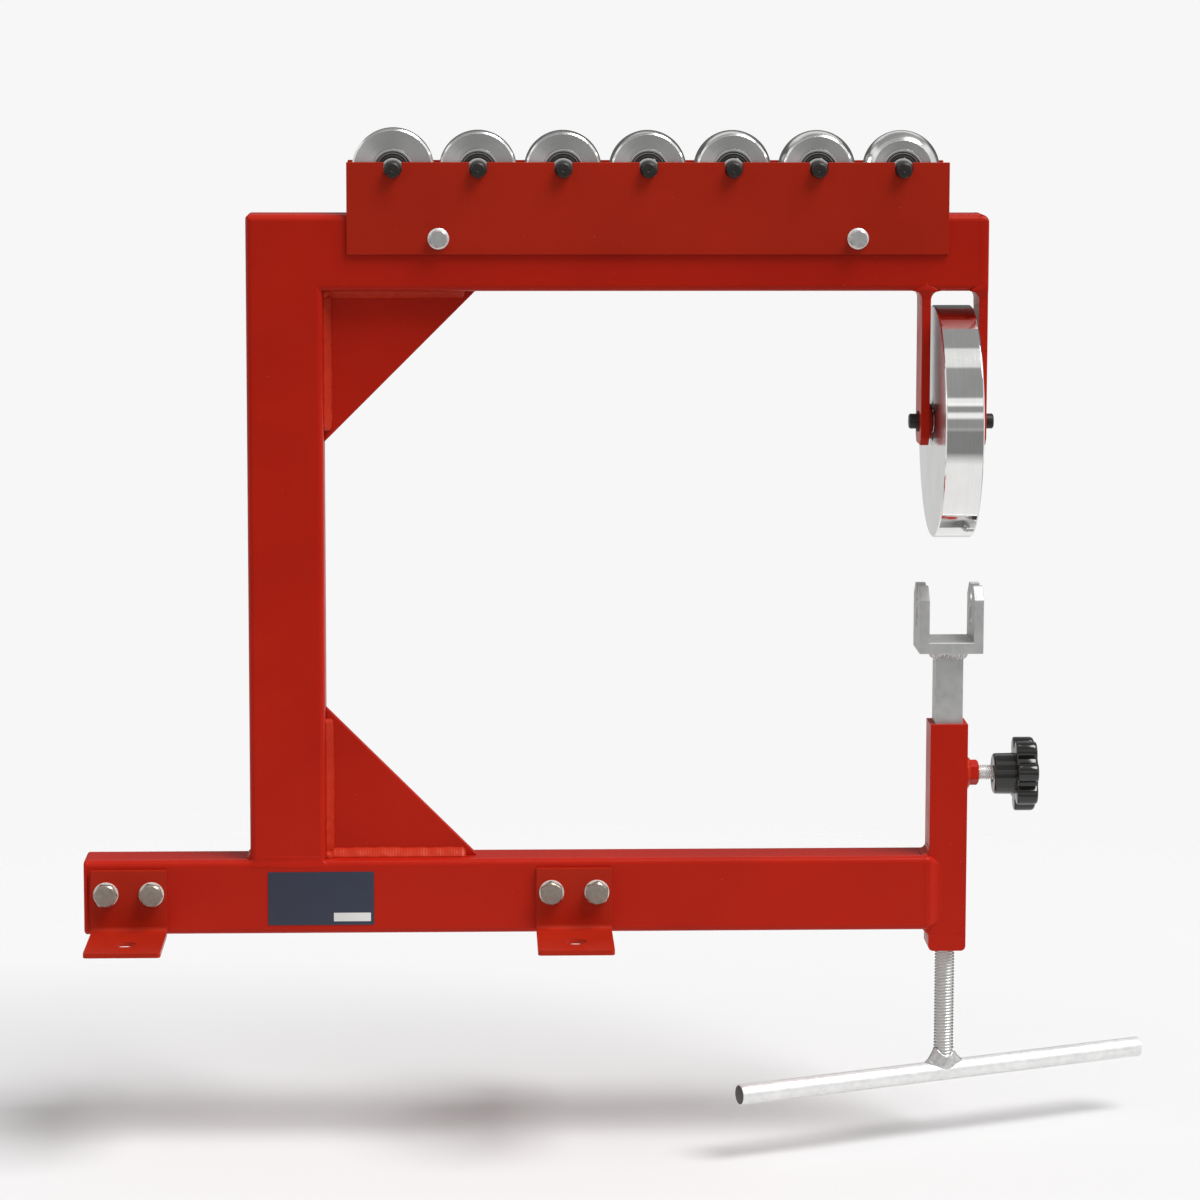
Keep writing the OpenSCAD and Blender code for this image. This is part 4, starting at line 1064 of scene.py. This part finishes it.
def anvil(number, crown):
    """Crowned anvil wheel with its sealed bearings, and the pin that carries their inner rings."""
    node = f"anvil_{number}"
    centre = middle(node)
    place = along(1, centre)
    r, h = size(node).z / 2, ANVIL_W / 2
    edge, steps, soft, land = h - ANVIL_CHAMFER, 28, 0.3 * MM, 3 * MM
    face_r = r - sphere_drop(crown, edge) - ANVIL_CHAMFER
    crowned = [(r - sphere_drop(crown, w), w) for w in [edge * (2 * s / steps - 1) for s in range(steps + 1)]]
    rim = rounded([(face_r - land, -h), (face_r, -h), *crowned, (face_r, h), (face_r - land, h)],
                  [0, soft, soft, *[0] * (steps - 1), soft, soft, 0], 3, closed=False)
    mesh = pocketed_wheel(node + "_look", rim, ANVIL_W, ANVIL_BEARING_OD, ANVIL_BEARING_W, place, 144)
    mark_sides(mesh, Vector((0, 1, 0)), 1)
    rim_steel = turned_steel(node + "_rim", centre, 1, (0.70, 0.70, 0.69), 0.20, 0.003 * MM)
    side_steel = turned_steel(node + "_side", centre, 1, (0.63, 0.63, 0.62), 0.30, 0.006 * MM, 0.85)
    piece(node + "_look", mesh, [rim_steel, side_steel], node, WHEEL_ANGLE, True)
    ring_steel = turned_steel(node + "_bearing_steel", centre, 1, (0.62, 0.62, 0.61), 0.28, 0.003 * MM)
    black = blackened_steel(node + "_pin_black", centre, 1)
    shells, cores = bearing_pair(place, ANVIL_W, ANVIL_BEARING_OD, ANVIL_BEARING_W, -0.1 * MM)
    group(node + "_bearings_look", shells, [ring_steel, RUBBER], node + "_bearings")
    rod = pin(node + "_rod", size(node + "_pin").y, 1.2 * MM, place, 56)
    group(node + "_pin_look", [painted(rod, 0), *[painted(core, 1) for core in cores]], [black, ring_steel],
          node + "_pin")


def data_plate():
    """Plain navy film with a blank write-in strip and no words."""
    lo, hi, centre = low("data_plate"), high("data_plate"), middle("data_plate")
    width, t, height = size("data_plate")

    def panel(outline, depth, y, index):
        return painted(slab("panel", outline, [], depth, depth * 0.3, facing_front((0, y, 0))), index)

    film = soft_rect(lo.x, hi.x, lo.z, hi.z, 1.0 * MM, 5)
    strip = soft_rect(hi.x - 0.38 * width, hi.x - 0.03 * width, lo.z + 0.07 * height, lo.z + 0.23 * height,
                      0.3 * MM, 5)
    panels = [panel(film, t, centre.y, 0), panel(strip, 0.06 * MM, lo.y - 0.02 * MM, 1)]
    group("plate_film", panels, [NAVY_FILM, WHITE_FILM], "data_plate")


# Studio

# Levels of light, where 1 is white. A panel: lowest and highest lift, nearest and furthest bearing from
# the front on either side, strength over the room's own
ROOM = 0.12
PANELS = [
    (0.50, 1.80, -0.5, 3.5, 0.22),
    (0.38, 0.47, -0.5, 1.3, 0.90),
    (0.165, 0.225, -0.5, 1.3, 0.72),
    (-0.04, 0.38, -0.5, 1.3, 0.20),
    (-1.80, -0.04, -0.5, 1.4, 0.13),
    (-1.80, -0.04, 1.9, 3.5, 0.55),
    (-0.35, 0.70, 1.45, 2.05, 0.75),
]
# Strip light from side to side over the part: lowest and highest tilt from the front, strength
OVERHEAD = (1.07, 1.42, 0.50)
# Where metal sees the white backdrop behind the part: lift, then bearing
SCREEN = (0.48, 0.80, 2.5, 3.5)
PANEL_SOFT = 0.04
BACKDROP = 0.93
FLOOR_GAP = 0.4 * MM
FLOOR_CENTRE = 0.2
FLOOR_R = (0.9, 1.35)
FLOOR_WHITE = (0.71, 0.71, 0.71)
SUN_STRENGTH = 3.0
SUN_ANGLE = 0.6
SUN_FROM = Vector((0.65, -0.41, 1.25))


def linked(name, data):
    obj = bpy.data.objects.new(name, data)
    bpy.context.scene.collection.objects.link(obj)
    return obj


def studio():
    """Room of soft panels for light and reflections. The camera sees the backdrop's colour all round."""
    world = bpy.data.worlds.new("studio")
    bpy.context.scene.world = world
    world.use_nodes = True
    world.node_tree.nodes.clear()
    room = Nodes(world.node_tree)

    def window(value, start, end, soft):
        """1 between start and end, fading over soft on each side."""
        return room.math("MULTIPLY", room.spread(value, start - soft, start, 0.0, 1.0),
                         room.spread(value, end, end + soft, 1.0, 0.0))

    direction = room.add("ShaderNodeTexCoord").outputs["Generated"]
    x, y, z = room.add("ShaderNodeSeparateXYZ", {0: direction}).outputs
    lift = room.math("ARCSINE", z)
    ahead = room.math("MULTIPLY", y, -1.0)
    bearing = room.math("ABSOLUTE", room.math("ARCTAN2", x, ahead))
    tilt = room.math("ARCTAN2", z, ahead)

    def panel(start, end, near, far):
        return room.math("MULTIPLY", window(lift, start, end, PANEL_SOFT),
                         window(bearing, near, far, 2 * PANEL_SOFT))

    level = ROOM
    for start, end, near, far, strength in PANELS:
        level = room.math("ADD", room.math("MULTIPLY", panel(start, end, near, far), strength), level)
    start, end, strength = OVERHEAD
    level = room.math("ADD", room.math("MULTIPLY", window(tilt, start, end, PANEL_SOFT), strength), level)
    sees = room.add("ShaderNodeLightPath").outputs
    glossy = room.math("MULTIPLY", room.math("MAXIMUM", sees["Is Glossy Ray"], sees["Is Transmission Ray"]),
                       panel(*SCREEN))
    white = room.math("MAXIMUM", sees["Is Camera Ray"], glossy)
    strength = room.add("ShaderNodeMix", {"Factor": white, "A": level, "B": BACKDROP}, data_type="FLOAT")
    light = room.add("ShaderNodeBackground", {"Color": (1.0, 1.0, 1.0, 1.0), "Strength": strength.outputs[0]})
    room.add("ShaderNodeOutputWorld", {"Surface": light.outputs[0]})


def floor():
    """Round pale floor just below the tee bar's lowest reach, which fades into the backdrop at its rim."""
    lift = next(joint for joint in frame["record"]["behaviour"]["joints"] if joint["name"] == "yoke_lift")
    z = cad_box[0][2] + lift["range_m"][0] - FLOOR_GAP
    mesh = bpy.data.meshes.new("floor")
    mesh.from_pydata([(x, y, z) for x, y in circle(FLOOR_CENTRE, 0, FLOOR_R[1], 96)], [], [range(96)])
    f = Finish("floor_white")
    f.set(Base_Color=FLOOR_WHITE, Roughness=0.9, Specular_IOR_Level=0.0)
    out = f.vector("DISTANCE", {0: f.place, 1: (FLOOR_CENTRE, 0.0, z)})["Value"]
    fade = f.spread(out, FLOOR_R[0], FLOOR_R[1] - 5 * MM, 0.0, 1.0)
    clear = f.add("ShaderNodeBsdfTransparent").outputs[0]
    faded = f.add("ShaderNodeMixShader", {0: fade, 1: f.shader.outputs[0], 2: clear})
    f.tree.links.new(faded.outputs[0], f.tree.nodes["Material Output"].inputs["Surface"])
    mesh.materials.append(f.material)
    linked("floor", mesh)


def lamp():
    data = bpy.data.lights.new("key", "SUN")
    data.energy = SUN_STRENGTH
    data.angle = SUN_ANGLE
    linked("key", data).rotation_euler = SUN_FROM.to_track_quat("Z", "Y").to_euler()


def camera():
    """Camera at the photograph's viewpoint, with its bearing worked out from yaw, pitch and roll."""
    level = math.cos(CAMERA_PITCH)
    forward = Vector((math.sin(CAMERA_YAW) * level, math.cos(CAMERA_YAW) * level, -math.sin(CAMERA_PITCH)))
    right = Vector((math.cos(CAMERA_YAW), -math.sin(CAMERA_YAW), 0.0))
    down = forward.cross(right)
    rolled_right = math.cos(CAMERA_ROLL) * right + math.sin(CAMERA_ROLL) * down
    rolled_down = -math.sin(CAMERA_ROLL) * right + math.cos(CAMERA_ROLL) * down
    turn = Matrix((rolled_right, -rolled_down, -forward)).transposed()
    data = bpy.data.cameras.new("camera")
    data.sensor_width = SENSOR
    data.lens = CAMERA_FOCAL_PX / IMAGE_SIDE * SENSOR
    data.shift_y = CAMERA_SHIFT_PX / IMAGE_SIDE
    data.clip_end = 100.0
    obj = linked("camera", data)
    obj.matrix_world = Matrix.Translation(CAMERA_AT) @ turn.to_4x4()
    bpy.context.scene.camera = obj


# Plates, tubes and blocks, which keep the CAD's shape with softer edges

def leg_corner(edge):
    """True for the short upright edges at the free end of a foot's leg."""
    a, b = (v.co for v in edge.verts)
    reach = max(abs(low("foot_front_left").y), abs(high("foot_back_left").y))
    return abs((a - b).normalized().z) > 0.9 and abs(a.y) > reach - 1 * MM


def cap_rim(edge):
    """True for the edges round the end cap's outer face."""
    return all(v.co.x < low("beam_end_cap").x + 0.01 * MM for v in edge.verts)


def refinish(finish, *nodes):
    for node in nodes:
        mesh = frame["nodes"][node].data
        mesh.materials.clear()
        mesh.materials.append(finish.material)


refinish(RED, "post", "upper_arm", "lower_beam")
for node in ("upper_gusset", "lower_gusset", "fork_ear_inner", "fork_ear_outer"):
    softened(node, 0.8 * MM, RED)
softened("beam_end_cap", 0.8 * MM, RED, angle=100, corners=cap_rim, corner_r=2.4 * MM)
for node in ("stem_socket", "screw_nut"):
    softened(node, 1.0 * MM, RED)
for node in ("foot_front_left", "foot_front_right", "foot_back_left", "foot_back_right"):
    softened(node, 0.7 * MM, BRACKET_RED, corners=leg_corner, corner_r=3 * MM)
for node in ("rack_plate_front", "rack_plate_back"):
    softened(node, 0.45 * MM, BRACKET_RED)
softened("yoke", 0.8 * MM, ZINC_GREY, steps=3)
softened("stem", 1.2 * MM, ZINC_GREY, steps=3)
softened("fork_bosses", 0.5 * MM, RED)
frame_welds()
lock_nut()
foot_bolts()
rack_bolts()
data_plate()
upper_wheel()
axle_and_circlips()
yoke_weld()
lift_screw()
tee_bar()
tee_weld()
lock_stud()
lock_knob()
for number, crown in enumerate(CROWNS, 1):
    anvil(number, crown)

studio()
floor()
lamp()
camera()
bpy.context.scene.view_settings.view_transform = "Standard"
